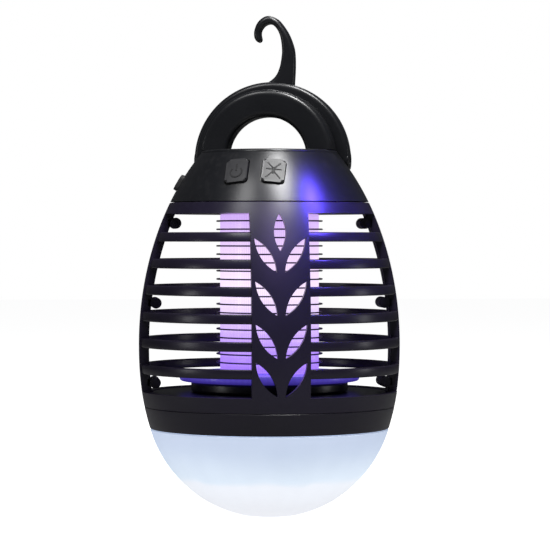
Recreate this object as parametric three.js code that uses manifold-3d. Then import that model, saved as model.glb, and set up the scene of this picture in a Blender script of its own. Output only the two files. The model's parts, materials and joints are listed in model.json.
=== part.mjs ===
// Hanging electric insect zapper: an egg-shaped cage round a high-voltage grid and an
// ultraviolet tube, a lantern globe below, and a top housing with a carry arch and a
// folding hook bail. Millimetres, +Z up, origin at the centre of the globe's standing flat.
// -Y is the front of the cage, the side with the leaf panel.
import * as THREE from 'three';
import { mergeVertices } from 'three/addons/utils/BufferGeometryUtils.js';
import Module from 'manifold-3d';

const wasm = await Module();
wasm.setup();

// Gaps
const clearance = 0.3; // between neighbouring pieces
const seam = clearance / 2; // taken off each side of a seam

// Stack of heights, from the standing flat up
const globeHeight = 30.2;
const ringHeight = 7.6; // base ring
const sillHeight = 5.2; // cage below its windows
const windowHeight = 60.9;
const lintelHeight = 4.0; // cage above its windows
const housingHeight = 17.8; // top housing

// Egg outline
const bodyRadius = 45; // at the widest level
const widestAboveGlobe = 28.9;
const topInset = 22.3; // body radius less the radius of the top face
const seamInset = 3.9; // body radius less the radius of the globe's seam
const crownPower = 1.65;
const bowlPower = 2.25;
const roundSteps = 40;

// Globe
const flatRadius = 8; // standing flat
const globeWall = 2;
const neckHeight = 3.8;
const neckWall = 1.8;

// Base ring and deck
const ringWall = 2.4;
const flangeThickness = 1.45;
const flangeReach = 6.3; // how far the flange stands in from the ring's wall
const deckThickness = 2.3;
const deckSkin = 0.8; // left over the blind screw holes
const deckPostRadius = 2.6;
const deckHoleRadius = 1.3;
const flangeHoleRadius = 1.4;
const pillarRadius = 2.2; // posts that carry the lantern board
const boardHoleRadius = 1.2;
const pedestalRadius = 27;
const pedestalHeight = 3.3;
const discRadius = 31;
const discThickness = 2.8;

// Cage
const cageWall = 3.2;
const slatCount = 6;
const slatThickness = 2.3;
const panelHalfWidth = 9.7;
const ribHalfDepth = 3.4;
const bossInset = 4.8; // screw boss axis, in from the egg
const bossRadius = 1.9;
const bossLength = 5.5;
const bossPitches = 3; // slats between one boss and the next
const bossStretch = 0.164286; // boss spacing over that many slat pitches
const bossDrop = 3.2; // top boss below the top of the windows

// Leaf cut-outs in the panel
const leafWidth = 3.6;
const topLeafWidth = 4;
const topLeafLength = 12.6;
const topLeafDrop = 0.1; // below the window top
const leafRise = 11.3;
const leafOuter = 8.5;
const leafInner = 1.3;
const leafDrops = [8.3, 22.5, 36.6, 49.1]; // outer tip of each pair below the window top

// Tube and grid
const tubeRadius = 16.4;
const tubeWall = 1.3;
const coilGap = 1.7; // from the tube's wall to the middle of the wire
const wireRadius = 0.4;
const coilPitch = 5.7;
const coilEndGap = 2.0;
const postTurns = [140, 220]; // degrees from the cage's front
const postRadius = 1.1;
const holderThickness = 3.2;
const holderScrewRadius = 24;
const holderHoleRadius = 1.3;
const boardScrewGap = 3.3; // main board's rim inside the circle of holder screws

// Top housing
const topTurn = -15; // degrees, how far the top is turned from the cage
const housingWall = 2.4;
const topPlate = 2.2;
const floorThickness = 1.6;

// Buttons, in the frame of the sloping wall
const buttonWidth = 7.65;
const buttonLength = 9.3;
const buttonCorner = 1.1;
const buttonProud = 0.7;
const buttonTravel = 0.6;
const buttonTurn = 12.5; // degrees each side of the housing's front
const buttonToe = 7; // degrees, turns each button upright again on the slope
const buttonZ = 10; // above the housing's seam

// Charging socket
const usbTurn = -84; // degrees from the housing's front
const usbZ = 6.6; // above the housing's seam
const usbWidth = 7.5;
const usbHeight = 2.9;
const usbDepth = 5.6;
const coverWidth = 12;
const coverHeight = 5.8;
const coverProud = 0.8;
const coverSeat = 0.7;

// Carry arch
const archOverhang = 0.5; // arch radius over the top face's radius
const archThickness = 9.4;
const archFront = -8;
const archBack = 2.3;
const archEdge = 1.3;
const archSink = 2.4; // centre of the arch below the top face
const pegRadius = 2.2;
const pegLength = 4.6;

// Hook bail
const bailGap = 0.6; // between the arch's back and the bail
const bailWidth = 7;
const bailStep = 4.05; // bail radius over the arch radius
const bailThickness = 5.85;
const bailSink = 3.3; // pivot below the top face
const bailEdge = 1.0;
const hookWidth = 5.4;
const hookShift = -0.9; // hook off the bail's middle
const hookSink = 0.3; // hook's root below the bail's crown
const hookEdge = 0.4;
const pinRadius = 1.5;
const pinReach = 4.4; // how far a pin runs into the housing
const ledgeGap = 0.5;
const ledgeDepth = 9; // how far the notches run on behind the bail
const ledgeWall = 1.6;

// Levels
const ringZ = globeHeight;
const cageZ = ringZ + ringHeight;
const windowZ = cageZ + sillHeight;
const lintelZ = windowZ + windowHeight;
const housingZ = lintelZ + lintelHeight;
const topZ = housingZ + housingHeight;
const widestZ = globeHeight + widestAboveGlobe;

// Radii that follow
const topRadius = bodyRadius - topInset;
const coilRadius = tubeRadius + coilGap;
const seamRadius = bodyRadius - seamInset;
const crownShare = Math.sqrt(1 - (topRadius / bodyRadius) ** crownPower);
const crownReach = (topZ - widestZ) / crownShare;
const bowlShare = (1 - (seamRadius / bodyRadius) ** 2) ** (1 / bowlPower);
const bowlReach = (widestZ - globeHeight) / bowlShare;

const sideSigns = { left: -1, right: 1 };

const black = { color: 0x17181c, roughness: 0.42, metalness: 0 };
const finishes = {
  shell: black,
  button: { color: 0x1d1e22, roughness: 0.5, metalness: 0 },
  rubber: { color: 0x1a1a1c, roughness: 0.8, metalness: 0 },
  globe: { color: 0xeef2f8, roughness: 0.35, metalness: 0 },
  tube: { color: 0xe8d4ff, roughness: 0.3, metalness: 0 },
  disc: { color: 0x5a50c8, roughness: 0.35, metalness: 0 },
  wire: { color: 0x8d8d96, roughness: 0.35, metalness: 1 },
  steel: { color: 0xb4b6ba, roughness: 0.3, metalness: 1 },
  board: { color: 0x1f5a34, roughness: 0.5, metalness: 0 },
  cell: { color: 0x3a63a8, roughness: 0.45, metalness: 0.1 },
  potting: { color: 0x2b2b2e, roughness: 0.6, metalness: 0 },
};

function eggRadius(z) {
  if (z >= widestZ) {
    const share = (z - widestZ) / crownReach;
    return bodyRadius * (1 - share ** 2) ** (1 / crownPower);
  }
  const share = (widestZ - z) / bowlReach;
  return bodyRadius * Math.sqrt(1 - share ** bowlPower);
}

// Solids

function signedVolume(corners, triangles) {
  const a = new THREE.Vector3();
  const b = new THREE.Vector3();
  const c = new THREE.Vector3();
  let sum = 0;
  for (let i = 0; i < triangles.length; i += 3) {
    a.fromArray(corners, triangles[i] * 3);
    b.fromArray(corners, triangles[i + 1] * 3);
    c.fromArray(corners, triangles[i + 2] * 3);
    sum += a.dot(b.cross(c));
  }
  return sum;
}

// Welds a closed geometry, drops collapsed faces and turns the faces outwards.
function solid(geometry) {
  geometry.deleteAttribute('normal');
  geometry.deleteAttribute('uv');
  const welded = mergeVertices(geometry, 1e-4);
  const corners = welded.attributes.position.array;
  const source = welded.index.array;
  const kept = [];
  for (let i = 0; i < source.length; i += 3) {
    const [a, b, c] = source.slice(i, i + 3);
    if (a !== b && b !== c && c !== a) kept.push(a, b, c);
  }
  if (signedVolume(corners, kept) < 0) kept.reverse();
  const mesh = new wasm.Mesh({
    numProp: 3,
    vertProperties: new Float32Array(corners),
    triVerts: new Uint32Array(kept),
  });
  return new wasm.Manifold(mesh);
}

function joined(solids) {
  return solids.reduce((sum, next) => sum.add(next));
}

function geometryOf(made) {
  const mesh = made.getMesh();
  const geometry = new THREE.BufferGeometry();
  geometry.setAttribute('position', new THREE.BufferAttribute(mesh.vertProperties, 3));
  geometry.setIndex(new THREE.BufferAttribute(mesh.triVerts, 1));
  geometry.computeVertexNormals();
  return geometry;
}

function piece(group, name, made, finish) {
  const material = new THREE.MeshStandardMaterial(finishes[finish]);
  const mesh = new THREE.Mesh(geometryOf(made), material);
  mesh.name = name;
  group.add(mesh);
  return mesh;
}

function point(radius, z) {
  return new THREE.Vector2(radius, z);
}

// A solid turned about Z; the profile closes on itself or on the axis.
function turned(profile, steps = roundSteps) {
  const geometry = new THREE.LatheGeometry(profile, steps);
  geometry.rotateX(Math.PI / 2);
  return solid(geometry);
}

function tubeSolid(outer, inner, z0, z1, steps = roundSteps) {
  const corners = [point(outer, z0), point(outer, z1), point(inner, z1), point(inner, z0)];
  return turned([...corners, point(outer, z0)], steps);
}

function discSolid(radius, z0, z1, steps = roundSteps) {
  return turned([point(0, z0), point(radius, z0), point(radius, z1), point(0, z1)], steps);
}

function boxGeometry(low, high) {
  const size = high.map((value, i) => value - low[i]);
  const geometry = new THREE.BoxGeometry(...size);
  geometry.translate(...low.map((value, i) => value + size[i] / 2));
  return geometry;
}

function box(low, high) {
  return solid(boxGeometry(low, high));
}

// A rod of the given radius between two points.
function rod(from, to, radius, steps = 12) {
  const start = new THREE.Vector3(...from);
  const end = new THREE.Vector3(...to);
  const along = end.clone().sub(start);
  const geometry = new THREE.CylinderGeometry(radius, radius, along.length(), steps);
  const turn = new THREE.Quaternion();
  turn.setFromUnitVectors(new THREE.Vector3(0, 1, 0), along.clone().normalize());
  geometry.applyQuaternion(turn);
  geometry.translate(...start.add(end).multiplyScalar(0.5));
  return solid(geometry);
}

// An outline in X and Z given a thickness along Y, with rounded edges.
function plate(shape, yFront, yBack, edge = 0, curveSegments = 12) {
  const geometry = new THREE.ExtrudeGeometry(shape, {
    depth: yBack - yFront - 2 * edge,
    bevelEnabled: edge > 0,
    bevelThickness: edge,
    bevelSize: edge,
    bevelOffset: -edge,
    bevelSegments: 1,
    curveSegments,
  });
  geometry.rotateX(Math.PI / 2);
  geometry.translate(0, yBack - edge, 0);
  return solid(geometry);
}

function roundedRectangle(width, height, corner) {
  const x = width / 2;
  const y = height / 2;
  const shape = new THREE.Shape();
  shape.moveTo(-x + corner, -y);
  shape.lineTo(x - corner, -y);
  shape.absarc(x - corner, -y + corner, corner, -Math.PI / 2, 0);
  shape.lineTo(x, y - corner);
  shape.absarc(x - corner, y - corner, corner, 0, Math.PI / 2);
  shape.lineTo(-x + corner, y);
  shape.absarc(-x + corner, y - corner, corner, Math.PI / 2, Math.PI);
  shape.lineTo(-x, -y + corner);
  shape.absarc(-x + corner, -y + corner, corner, Math.PI, Math.PI * 1.5);
  return shape;
}

// The wall between the egg outline and the same outline moved in.
function eggWall(z0, z1, wall, steps) {
  const outer = [];
  const inner = [];
  for (let i = 0; i <= steps; i += 1) {
    const z = z0 + ((z1 - z0) * i) / steps;
    outer.push(point(eggRadius(z), z));
    inner.unshift(point(eggRadius(z) - wall, z));
  }
  return [...outer, ...inner, outer[0].clone()];
}

// Frame on the sloping wall: x runs round, y runs up the slope, z points out.
function slopeFrame(degrees, z) {
  const turn = THREE.MathUtils.degToRad(degrees);
  const step = 0.5;
  const lean = Math.atan((eggRadius(z - step) - eggRadius(z + step)) / (2 * step));
  const out = new THREE.Vector3(Math.sin(turn), -Math.cos(turn), 0);
  const round = new THREE.Vector3(Math.cos(turn), Math.sin(turn), 0);
  const up = new THREE.Vector3(0, 0, 1);
  const slopeUp = up.clone().multiplyScalar(Math.cos(lean)).addScaledVector(out, -Math.sin(lean));
  const normal = out.clone().multiplyScalar(Math.cos(lean)).addScaledVector(up, Math.sin(lean));
  const frame = new THREE.Matrix4().makeBasis(round, slopeUp, normal);
  frame.setPosition(out.clone().multiplyScalar(eggRadius(z)).setZ(z));
  return frame;
}

function padSolid(frame, shape, low, high, edge = 0, segments = 2) {
  const geometry = new THREE.ExtrudeGeometry(shape, {
    depth: high - low - edge,
    bevelEnabled: edge > 0,
    bevelThickness: edge,
    bevelSize: edge,
    bevelOffset: -edge,
    bevelSegments: 1,
    curveSegments: segments,
  });
  geometry.translate(0, 0, low);
  geometry.applyMatrix4(frame);
  return solid(geometry);
}

function framedBox(frame, low, high) {
  const geometry = boxGeometry(low, high);
  geometry.applyMatrix4(frame);
  return solid(geometry);
}

// A screw: round head and plain shank, from the head's outer face to the tip.
function screw(head, tip, headRadius, headHeight, shankRadius) {
  const start = new THREE.Vector3(...head);
  const along = new THREE.Vector3(...tip).sub(start).normalize();
  const under = start.clone().addScaledVector(along, headHeight);
  const inside = start.clone().addScaledVector(along, headHeight / 2);
  const cap = rod(head, under.toArray(), headRadius, 12);
  return cap.add(rod(inside.toArray(), tip, shankRadius, 8));
}

// Upright rods on a circle about Z, all joined.
function uprights(radius, turns, z0, z1, rodRadius, steps = 12) {
  const upright = (turn) => rod(onCircle(radius, turn, z0), onCircle(radius, turn, z1), rodRadius, steps);
  return joined(turns.map(upright));
}

function onCircle(radius, degrees, z) {
  const turn = THREE.MathUtils.degToRad(degrees);
  return [radius * Math.sin(turn), -radius * Math.cos(turn), z];
}

// Globe and base

const ringInner = seamRadius - ringWall;
const neckRadius = ringInner - clearance;
const globeTop = globeHeight - seam;
const globeCentreZ = (seamRadius ** 2 + globeTop ** 2 - flatRadius ** 2) / (2 * globeTop);
const globeRadius = Math.hypot(flatRadius, globeCentreZ);

function globeArc(radius, fromZ, toZ, steps) {
  const points = [];
  const fromTurn = Math.asin((fromZ - globeCentreZ) / radius);
  const toTurn = Math.asin((toZ - globeCentreZ) / radius);
  for (let i = 0; i <= steps; i += 1) {
    const turn = fromTurn + ((toTurn - fromTurn) * i) / steps;
    points.push(point(radius * Math.cos(turn), globeCentreZ + radius * Math.sin(turn)));
  }
  return points;
}

function globe() {
  const neckTop = globeHeight + neckHeight;
  const inside = globeRadius - globeWall;
  const neckInner = neckRadius - neckWall;
  const insideTop = globeCentreZ - Math.sqrt(inside ** 2 - neckInner ** 2);
  const insideBottom = globeCentreZ - Math.sqrt(inside ** 2 - flatRadius ** 2);
  return turned([
    point(0, 0),
    ...globeArc(globeRadius, 0, globeTop, 7),
    point(neckRadius, globeTop),
    point(neckRadius, neckTop),
    point(neckInner, neckTop),
    ...globeArc(inside, insideTop, insideBottom, 4),
    point(0, insideBottom),
  ]);
}

function baseRing() {
  const bottom = ringZ + seam;
  const top = cageZ - seam;
  const under = top - flangeThickness;
  const reach = ringInner - flangeReach;
  const middle = (bottom + top) / 2;
  return turned([
    point(eggRadius(bottom), bottom),
    point(eggRadius(middle), middle),
    point(eggRadius(top), top),
    point(reach, top),
    point(reach, under),
    point(ringInner, under),
    point(ringInner, bottom),
    point(eggRadius(bottom), bottom),
  ]);
}

const flangeUnder = cageZ - seam - flangeThickness;
const flangeInner = ringInner - flangeReach;
const deckScrewRadius = flangeInner + 1.9;
const deckTop = windowZ - clearance;
const deckBottom = deckTop - deckThickness;
const boardScrewRadius = flangeInner - 5.5;
const boardTop = globeHeight + 2.3;
const boardBottom = boardTop - 1.6;
const thirds = [0, 120, 240];
const turnedThirds = thirds.map((turn) => turn + 60);

function deck() {
  const rim = eggRadius(deckTop) - cageWall - clearance - 0.3;
  const posts = uprights(deckScrewRadius, turnedThirds, cageZ + seam, deckTop - 1, deckPostRadius);
  const pillars = uprights(boardScrewRadius, thirds, boardTop + clearance, deckTop - 1, pillarRadius);
  const holeTop = deckTop - deckSkin;
  const postHoles = uprights(deckScrewRadius, turnedThirds, cageZ - 1, holeTop, deckHoleRadius, 8);
  const pillarHoles = uprights(boardScrewRadius, thirds, boardTop - 1, holeTop, boardHoleRadius, 8);
  const made = discSolid(rim, deckBottom, deckTop).add(posts).add(pillars);
  return made.subtract(postHoles).subtract(pillarHoles);
}

function drilledRing() {
  const holes = uprights(deckScrewRadius, turnedThirds, flangeUnder - 1, cageZ + 1, flangeHoleRadius, 8);
  return baseRing().subtract(holes);
}

function lanternBoard() {
  const ledCount = 6;
  const parts = [discSolid(flangeInner - 2, boardBottom, boardTop, 32)];
  for (let i = 0; i < ledCount; i += 1) {
    const frame = new THREE.Matrix4().makeRotationZ((Math.PI * 2 * (i + 0.5)) / ledCount);
    parts.push(framedBox(frame, [18, -1.75, boardBottom - 0.9], [21.5, 1.75, boardBottom + 0.5]));
  }
  const holes = uprights(boardScrewRadius, thirds, boardBottom - 2, boardTop + 1, boardHoleRadius, 8);
  return joined(parts).subtract(holes);
}

function buildBase(group) {
  piece(group, 'lantern_globe', globe(), 'globe');
  piece(group, 'base_ring', drilledRing(), 'shell');
  const gasketBottom = globeHeight + neckHeight + clearance;
  const gasketTop = flangeUnder - clearance;
  const gasket = tubeSolid(neckRadius, neckRadius - neckWall, gasketBottom, gasketTop, 32);
  piece(group, 'globe_gasket', gasket, 'rubber');
  piece(group, 'base_deck', deck(), 'shell');
  piece(group, 'lantern_board', lanternBoard(), 'board');
  const headTop = flangeUnder - clearance;
  turnedThirds.forEach((turn, i) => {
    const made = screw(
      onCircle(deckScrewRadius, turn, headTop - 1.2),
      onCircle(deckScrewRadius, turn, deckTop - 1.6),
      1.8,
      1.2,
      1,
    );
    piece(group, `deck_screw_${i + 1}`, made, 'steel');
  });
  thirds.forEach((turn, i) => {
    const made = screw(
      onCircle(boardScrewRadius, turn, boardBottom - clearance - 1.2),
      onCircle(boardScrewRadius, turn, deckTop - 1.6),
      1.8,
      1.2,
      0.9,
    );
    piece(group, `board_screw_${i + 1}`, made, 'steel');
  });
  const cellBottom = boardTop + 0.8;
  piece(group, 'battery_cell', box([-17, -9, cellBottom], [17, 9, cellBottom + 6.2]), 'cell');
  const moduleBottom = boardTop + 0.8;
  piece(group, 'high_voltage_module', box([-11, 11, moduleBottom], [11, 22, moduleBottom + 6]), 'potting');
}

// Cage

const pitch = (windowHeight + slatThickness) / (slatCount + 1);

function leafShape(fromX, fromZ, toX, toZ, width = leafWidth) {
  const shape = new THREE.Shape();
  const side = new THREE.Vector2(fromZ - toZ, toX - fromX).normalize().multiplyScalar(width);
  const middleX = (fromX + toX) / 2;
  const middleZ = (fromZ + toZ) / 2;
  shape.moveTo(fromX, fromZ);
  shape.quadraticCurveTo(middleX + side.x, middleZ + side.y, toX, toZ);
  shape.quadraticCurveTo(middleX - side.x, middleZ - side.y, fromX, fromZ);
  return shape;
}

function leaves() {
  const tip = lintelZ - topLeafDrop;
  const shapes = [leafShape(0, tip, 0, tip - topLeafLength, topLeafWidth)];
  for (const drop of leafDrops) {
    const top = lintelZ - drop;
    shapes.push(leafShape(-leafOuter, top, -leafInner, top - leafRise));
    shapes.push(leafShape(leafOuter, top, leafInner, top - leafRise));
  }
  const near = -bodyRadius - 5;
  return joined(shapes.map((shape) => plate(shape, near, -discRadius + 8, 0, 3)));
}

function bossLevels() {
  const spacing = bossPitches * pitch + bossStretch;
  return [0, 1, 2].map((i) => lintelZ - bossDrop - i * spacing);
}

function bossX(side, z) {
  return side * (eggRadius(z) - bossInset);
}

// One half of the cage, with its windows, slats, leaf panel and screw bosses, built as the front.
function cageHalf(holeRadius, holeDepth) {
  const bottom = cageZ + seam;
  const top = housingZ - seam;
  const far = bodyRadius + 5;
  let made = turned(eggWall(bottom, top, cageWall, 7));
  made = made.subtract(box([-far, -seam, bottom - 5], [far, far, top + 5]));
  const cuts = [];
  for (let i = 0; i <= slatCount; i += 1) {
    const low = windowZ + i * pitch;
    const high = low + pitch - slatThickness;
    cuts.push(box([panelHalfWidth, -far, low], [far, -ribHalfDepth, high]));
    cuts.push(box([-far, -far, low], [-panelHalfWidth, -ribHalfDepth, high]));
  }
  made = made.subtract(joined(cuts)).subtract(leaves());
  for (const z of bossLevels()) {
    for (const side of [-1, 1]) {
      const x = bossX(side, z);
      const wallX = x + side * 2.6;
      const web = box([Math.min(x, wallX), -ribHalfDepth, z - 1.2], [Math.max(x, wallX), -seam, z + 1.2]);
      made = made.add(rod([x, -seam, z], [x, -bossLength, z], bossRadius)).add(web);
      made = made.subtract(rod([x, 1, z], [x, -holeDepth, z], holeRadius, 8));
    }
  }
  return made;
}

function buildCage(group) {
  const shankRadius = 0.65;
  const hole = shankRadius + clearance;
  piece(group, 'cage_front', cageHalf(hole, bossLength - 0.7), 'shell');
  const rear = piece(group, 'cage_rear', cageHalf(hole, bossLength + 2), 'shell');
  rear.rotation.z = Math.PI;
  const headInner = bossLength + clearance;
  bossLevels().forEach((z, i) => {
    for (const [side, sign] of Object.entries(sideSigns)) {
      const x = bossX(sign, z);
      const made = screw([x, headInner + 1.1, z], [x, -bossLength + 1.4, z], 1.6, 1.1, shankRadius);
      piece(group, `cage_screw_${side}_${i + 1}`, made, 'steel');
    }
  });
}

// Core: pedestal, disc, tube, grid and holder

class Helix extends THREE.Curve {
  constructor(radius, z0, z1, turns, start) {
    super();
    Object.assign(this, { radius, z0, z1, turns, start });
  }

  getPoint(t, target = new THREE.Vector3()) {
    const turn = this.start + t * this.turns * Math.PI * 2;
    const z = this.z0 + (this.z1 - this.z0) * t;
    return target.set(this.radius * Math.cos(turn), this.radius * Math.sin(turn), z);
  }
}

function coil(z0, z1, start) {
  const turns = Math.floor((z1 - z0) / coilPitch);
  const section = new THREE.Shape();
  section.absarc(0, 0, wireRadius, 0, Math.PI * 2);
  const geometry = new THREE.ExtrudeGeometry(section, {
    steps: turns * 12,
    bevelEnabled: false,
    curveSegments: 2,
    extrudePath: new Helix(coilRadius, z0, z0 + turns * coilPitch, turns, start),
  });
  return solid(geometry);
}

const pedestalZ = windowZ;
const discZ = pedestalZ + pedestalHeight + clearance;
const coreZ = discZ + discThickness + clearance;
const holderZ = lintelZ + 0.2;
const coreTop = holderZ - clearance;

function ledColumn() {
  const parts = [box([-4, -0.8, coreZ + 1], [4, 0.8, coreTop - 1])];
  const ledCount = 6;
  const first = coreZ + 6;
  const spacing = (coreTop - 6 - first) / (ledCount - 1);
  for (let i = 0; i < ledCount; i += 1) {
    const z = first + i * spacing;
    parts.push(box([-1.75, -1.7, z - 1.75], [1.75, 1.7, z + 1.75]));
  }
  return joined(parts);
}

function buildCore(group) {
  const pedestal = discSolid(pedestalRadius, pedestalZ, pedestalZ + pedestalHeight, 32);
  piece(group, 'core_pedestal', pedestal, 'shell');
  piece(group, 'glow_disc', discSolid(discRadius, discZ, discZ + discThickness), 'disc');
  piece(group, 'uv_light_tube', tubeSolid(tubeRadius, tubeRadius - tubeWall, coreZ, coreTop, 32), 'tube');
  piece(group, 'uv_led_board', ledColumn(), 'board');
  const coilLow = coreZ + coilEndGap;
  const coilHigh = coreTop - coilEndGap;
  piece(group, 'live_grid_wire', coil(coilLow, coilHigh - coilPitch / 2, 0), 'wire');
  piece(group, 'return_grid_wire', coil(coilLow + coilPitch / 2, coilHigh, 0), 'wire');
  const postCircle = coilRadius + wireRadius + clearance + postRadius;
  postTurns.forEach((turn, i) => {
    const made = rod(onCircle(postCircle, turn, coreZ), onCircle(postCircle, turn, coreTop), postRadius, 10);
    piece(group, `grid_post_${i + 1}`, made, 'shell');
  });
  const holderRim = eggRadius(housingZ - seam) - cageWall - clearance - 0.3;
  const holes = uprights(holderScrewRadius, turnedThirds, holderZ - 1, housingZ, holderHoleRadius, 8);
  const holder = discSolid(holderRim, holderZ, holderZ + holderThickness).subtract(holes);
  piece(group, 'core_holder', holder, 'shell');
}

// Top housing

const floorZ = housingZ + clearance;
const floorTop = floorZ + floorThickness;
const archRadius = topRadius + archOverhang;
const archCentreZ = topZ - archSink;
const bailRadius = archRadius + bailStep;
const bailInner = bailRadius - bailThickness;
const bailFront = archBack + bailGap;
const bailBack = bailFront + bailWidth;
const pivotY = (bailFront + bailBack) / 2;
const pivotZ = topZ - bailSink;
const pegX = archRadius - archThickness / 2;
const pegY = (archFront + archBack) / 2;

function housingShell() {
  const bottom = housingZ + seam;
  const steps = 6;
  const outer = [];
  const inner = [];
  for (let i = 0; i <= steps; i += 1) {
    const z = bottom + ((topZ - bottom) * i) / steps;
    outer.push(point(eggRadius(z), z));
    const innerZ = bottom + ((topZ - topPlate - bottom) * i) / steps;
    inner.unshift(point(eggRadius(innerZ) - housingWall, innerZ));
  }
  return turned([...outer, point(0, topZ), point(0, topZ - topPlate), ...inner, outer[0].clone()]);
}

function housingSolid() {
  const outline = [point(0, housingZ + seam)];
  const steps = 6;
  for (let i = 0; i <= steps; i += 1) {
    const z = housingZ + seam + ((topZ - housingZ - seam) * i) / steps;
    outline.push(point(eggRadius(z), z));
  }
  outline.push(point(0, topZ));
  return turned(outline);
}

// Notches in both rear shoulders that the bail's legs turn in, with a wall behind them.
function notchBoxes(grow, side) {
  const floor = pivotZ - bailWidth / 2 - ledgeGap - grow;
  const front = bailFront - ledgeGap + 0.2 - grow;
  const far = bodyRadius;
  const legWall = bailInner - ledgeGap - grow;
  const ringWallX = bailInner - 4.2 - grow;
  const low = (x0, x1) => Math.min(side * x0, side * x1);
  const high = (x0, x1) => Math.max(side * x0, side * x1);
  const behind = bailBack + ledgeGap;
  const leg = box([low(legWall, far), front, floor], [high(legWall, far), behind + grow, topZ + 5]);
  const back = behind + ledgeDepth + grow;
  const start = behind - 0.4 - grow;
  const ring = box([low(ringWallX, far), start, floor], [high(ringWallX, far), back, topZ + 5]);
  return leg.add(ring);
}

function buttonFrame(side) {
  const frame = slopeFrame(side * buttonTurn, housingZ + buttonZ);
  const toe = THREE.MathUtils.degToRad(-side * buttonToe);
  return frame.multiply(new THREE.Matrix4().makeRotationZ(toe));
}

const powerFrame = buttonFrame(-1);
const zapperFrame = buttonFrame(1);
const usbFrame = slopeFrame(usbTurn, housingZ + usbZ);

// Level frame through the charging socket: x runs round, y runs up, z points out.
function levelFrame(degrees, z, radius) {
  const turn = THREE.MathUtils.degToRad(degrees);
  const out = new THREE.Vector3(Math.sin(turn), -Math.cos(turn), 0);
  const round = new THREE.Vector3(Math.cos(turn), Math.sin(turn), 0);
  const frame = new THREE.Matrix4().makeBasis(round, new THREE.Vector3(0, 0, 1), out);
  frame.setPosition(out.multiplyScalar(radius).setZ(z));
  return frame;
}

const socketFrame = levelFrame(usbTurn, housingZ + usbZ, eggRadius(housingZ + usbZ));

function topHousing() {
  let made = housingShell();
  const core = housingSolid();
  for (const side of [-1, 1]) {
    const pocket = notchBoxes(ledgeWall, side).intersect(core);
    made = made.add(pocket);
  }
  for (const side of [-1, 1]) {
    made = made.subtract(notchBoxes(0, side));
    const pinEnd = bailInner - ledgeGap - pinReach - 0.3;
    const pinHole = [side * pinEnd, pivotY, pivotZ];
    made = made.subtract(rod(pinHole, [side * bodyRadius, pivotY, pivotZ], pinRadius + clearance));
    const pegHole = [side * pegX, pegY, topZ - 8];
    made = made.subtract(rod(pegHole, [side * pegX, pegY, topZ + 2], pegRadius + clearance));
  }
  const gaps = 2 * clearance;
  const hole = roundedRectangle(buttonWidth + gaps, buttonLength + gaps, buttonCorner + clearance);
  made = made.subtract(padSolid(powerFrame, hole, -4.5, 3));
  made = made.subtract(padSolid(zapperFrame, hole, -4.5, 3));
  const seat = roundedRectangle(coverWidth + gaps, coverHeight + gaps, 1.2);
  made = made.subtract(padSolid(usbFrame, seat, -coverSeat - clearance, 3));
  const slot = roundedRectangle(usbWidth + gaps, usbHeight + gaps, 0.8);
  made = made.subtract(padSolid(socketFrame, slot, -9, 3));
  return made;
}

function buttonSolid(frame) {
  const face = roundedRectangle(buttonWidth, buttonLength, buttonCorner);
  const foot = roundedRectangle(buttonWidth + 1.2, buttonLength + 1.6, buttonCorner);
  const cap = padSolid(frame, face, -3.2, buttonProud, 0.5);
  const flange = padSolid(frame, foot, -3.7, -3.0);
  const stem = padSolid(frame, roundedRectangle(3, 3, 1.2), -4.6, -3.4);
  return cap.add(flange).add(stem);
}

function switchSolid(frame) {
  const top = -4.6 - buttonTravel - 0.2;
  const plunger = padSolid(frame, roundedRectangle(2.6, 2.6, 1.1), top - 1, top);
  const body = framedBox(frame, [-2.9, -2.6, top - 2.6], [2.9, 2.6, top - 0.6]);
  const carrier = framedBox(frame, [-3.3, -3.2, top - 3.6], [3.3, 3.6, top - 2.4]);
  return plunger.add(body).add(carrier);
}

function carryArch() {
  const foot = topZ + clearance;
  const inner = archRadius - archThickness;
  const shape = new THREE.Shape();
  shape.moveTo(archRadius, archCentreZ - 2);
  shape.absarc(0, archCentreZ, archRadius, 0, Math.PI);
  shape.lineTo(-archRadius, archCentreZ - 2);
  shape.lineTo(-inner, archCentreZ - 2);
  shape.lineTo(-inner, archCentreZ);
  shape.absarc(0, archCentreZ, inner, Math.PI, 0, true);
  shape.lineTo(inner, archCentreZ - 2);
  let made = plate(shape, archFront, archBack, archEdge, 14);
  const wide = archRadius + 5;
  made = made.subtract(box([-wide, archFront - 5, archCentreZ - 10], [wide, archBack + 5, foot]));
  made = made.intersect(discSolid(archRadius, foot - 1, topZ + archRadius + 5));
  for (const side of [-1, 1]) {
    const x = side * pegX;
    made = made.add(rod([x, pegY, topZ - pegLength], [x, pegY, foot + 1], pegRadius));
  }
  return made;
}

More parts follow.
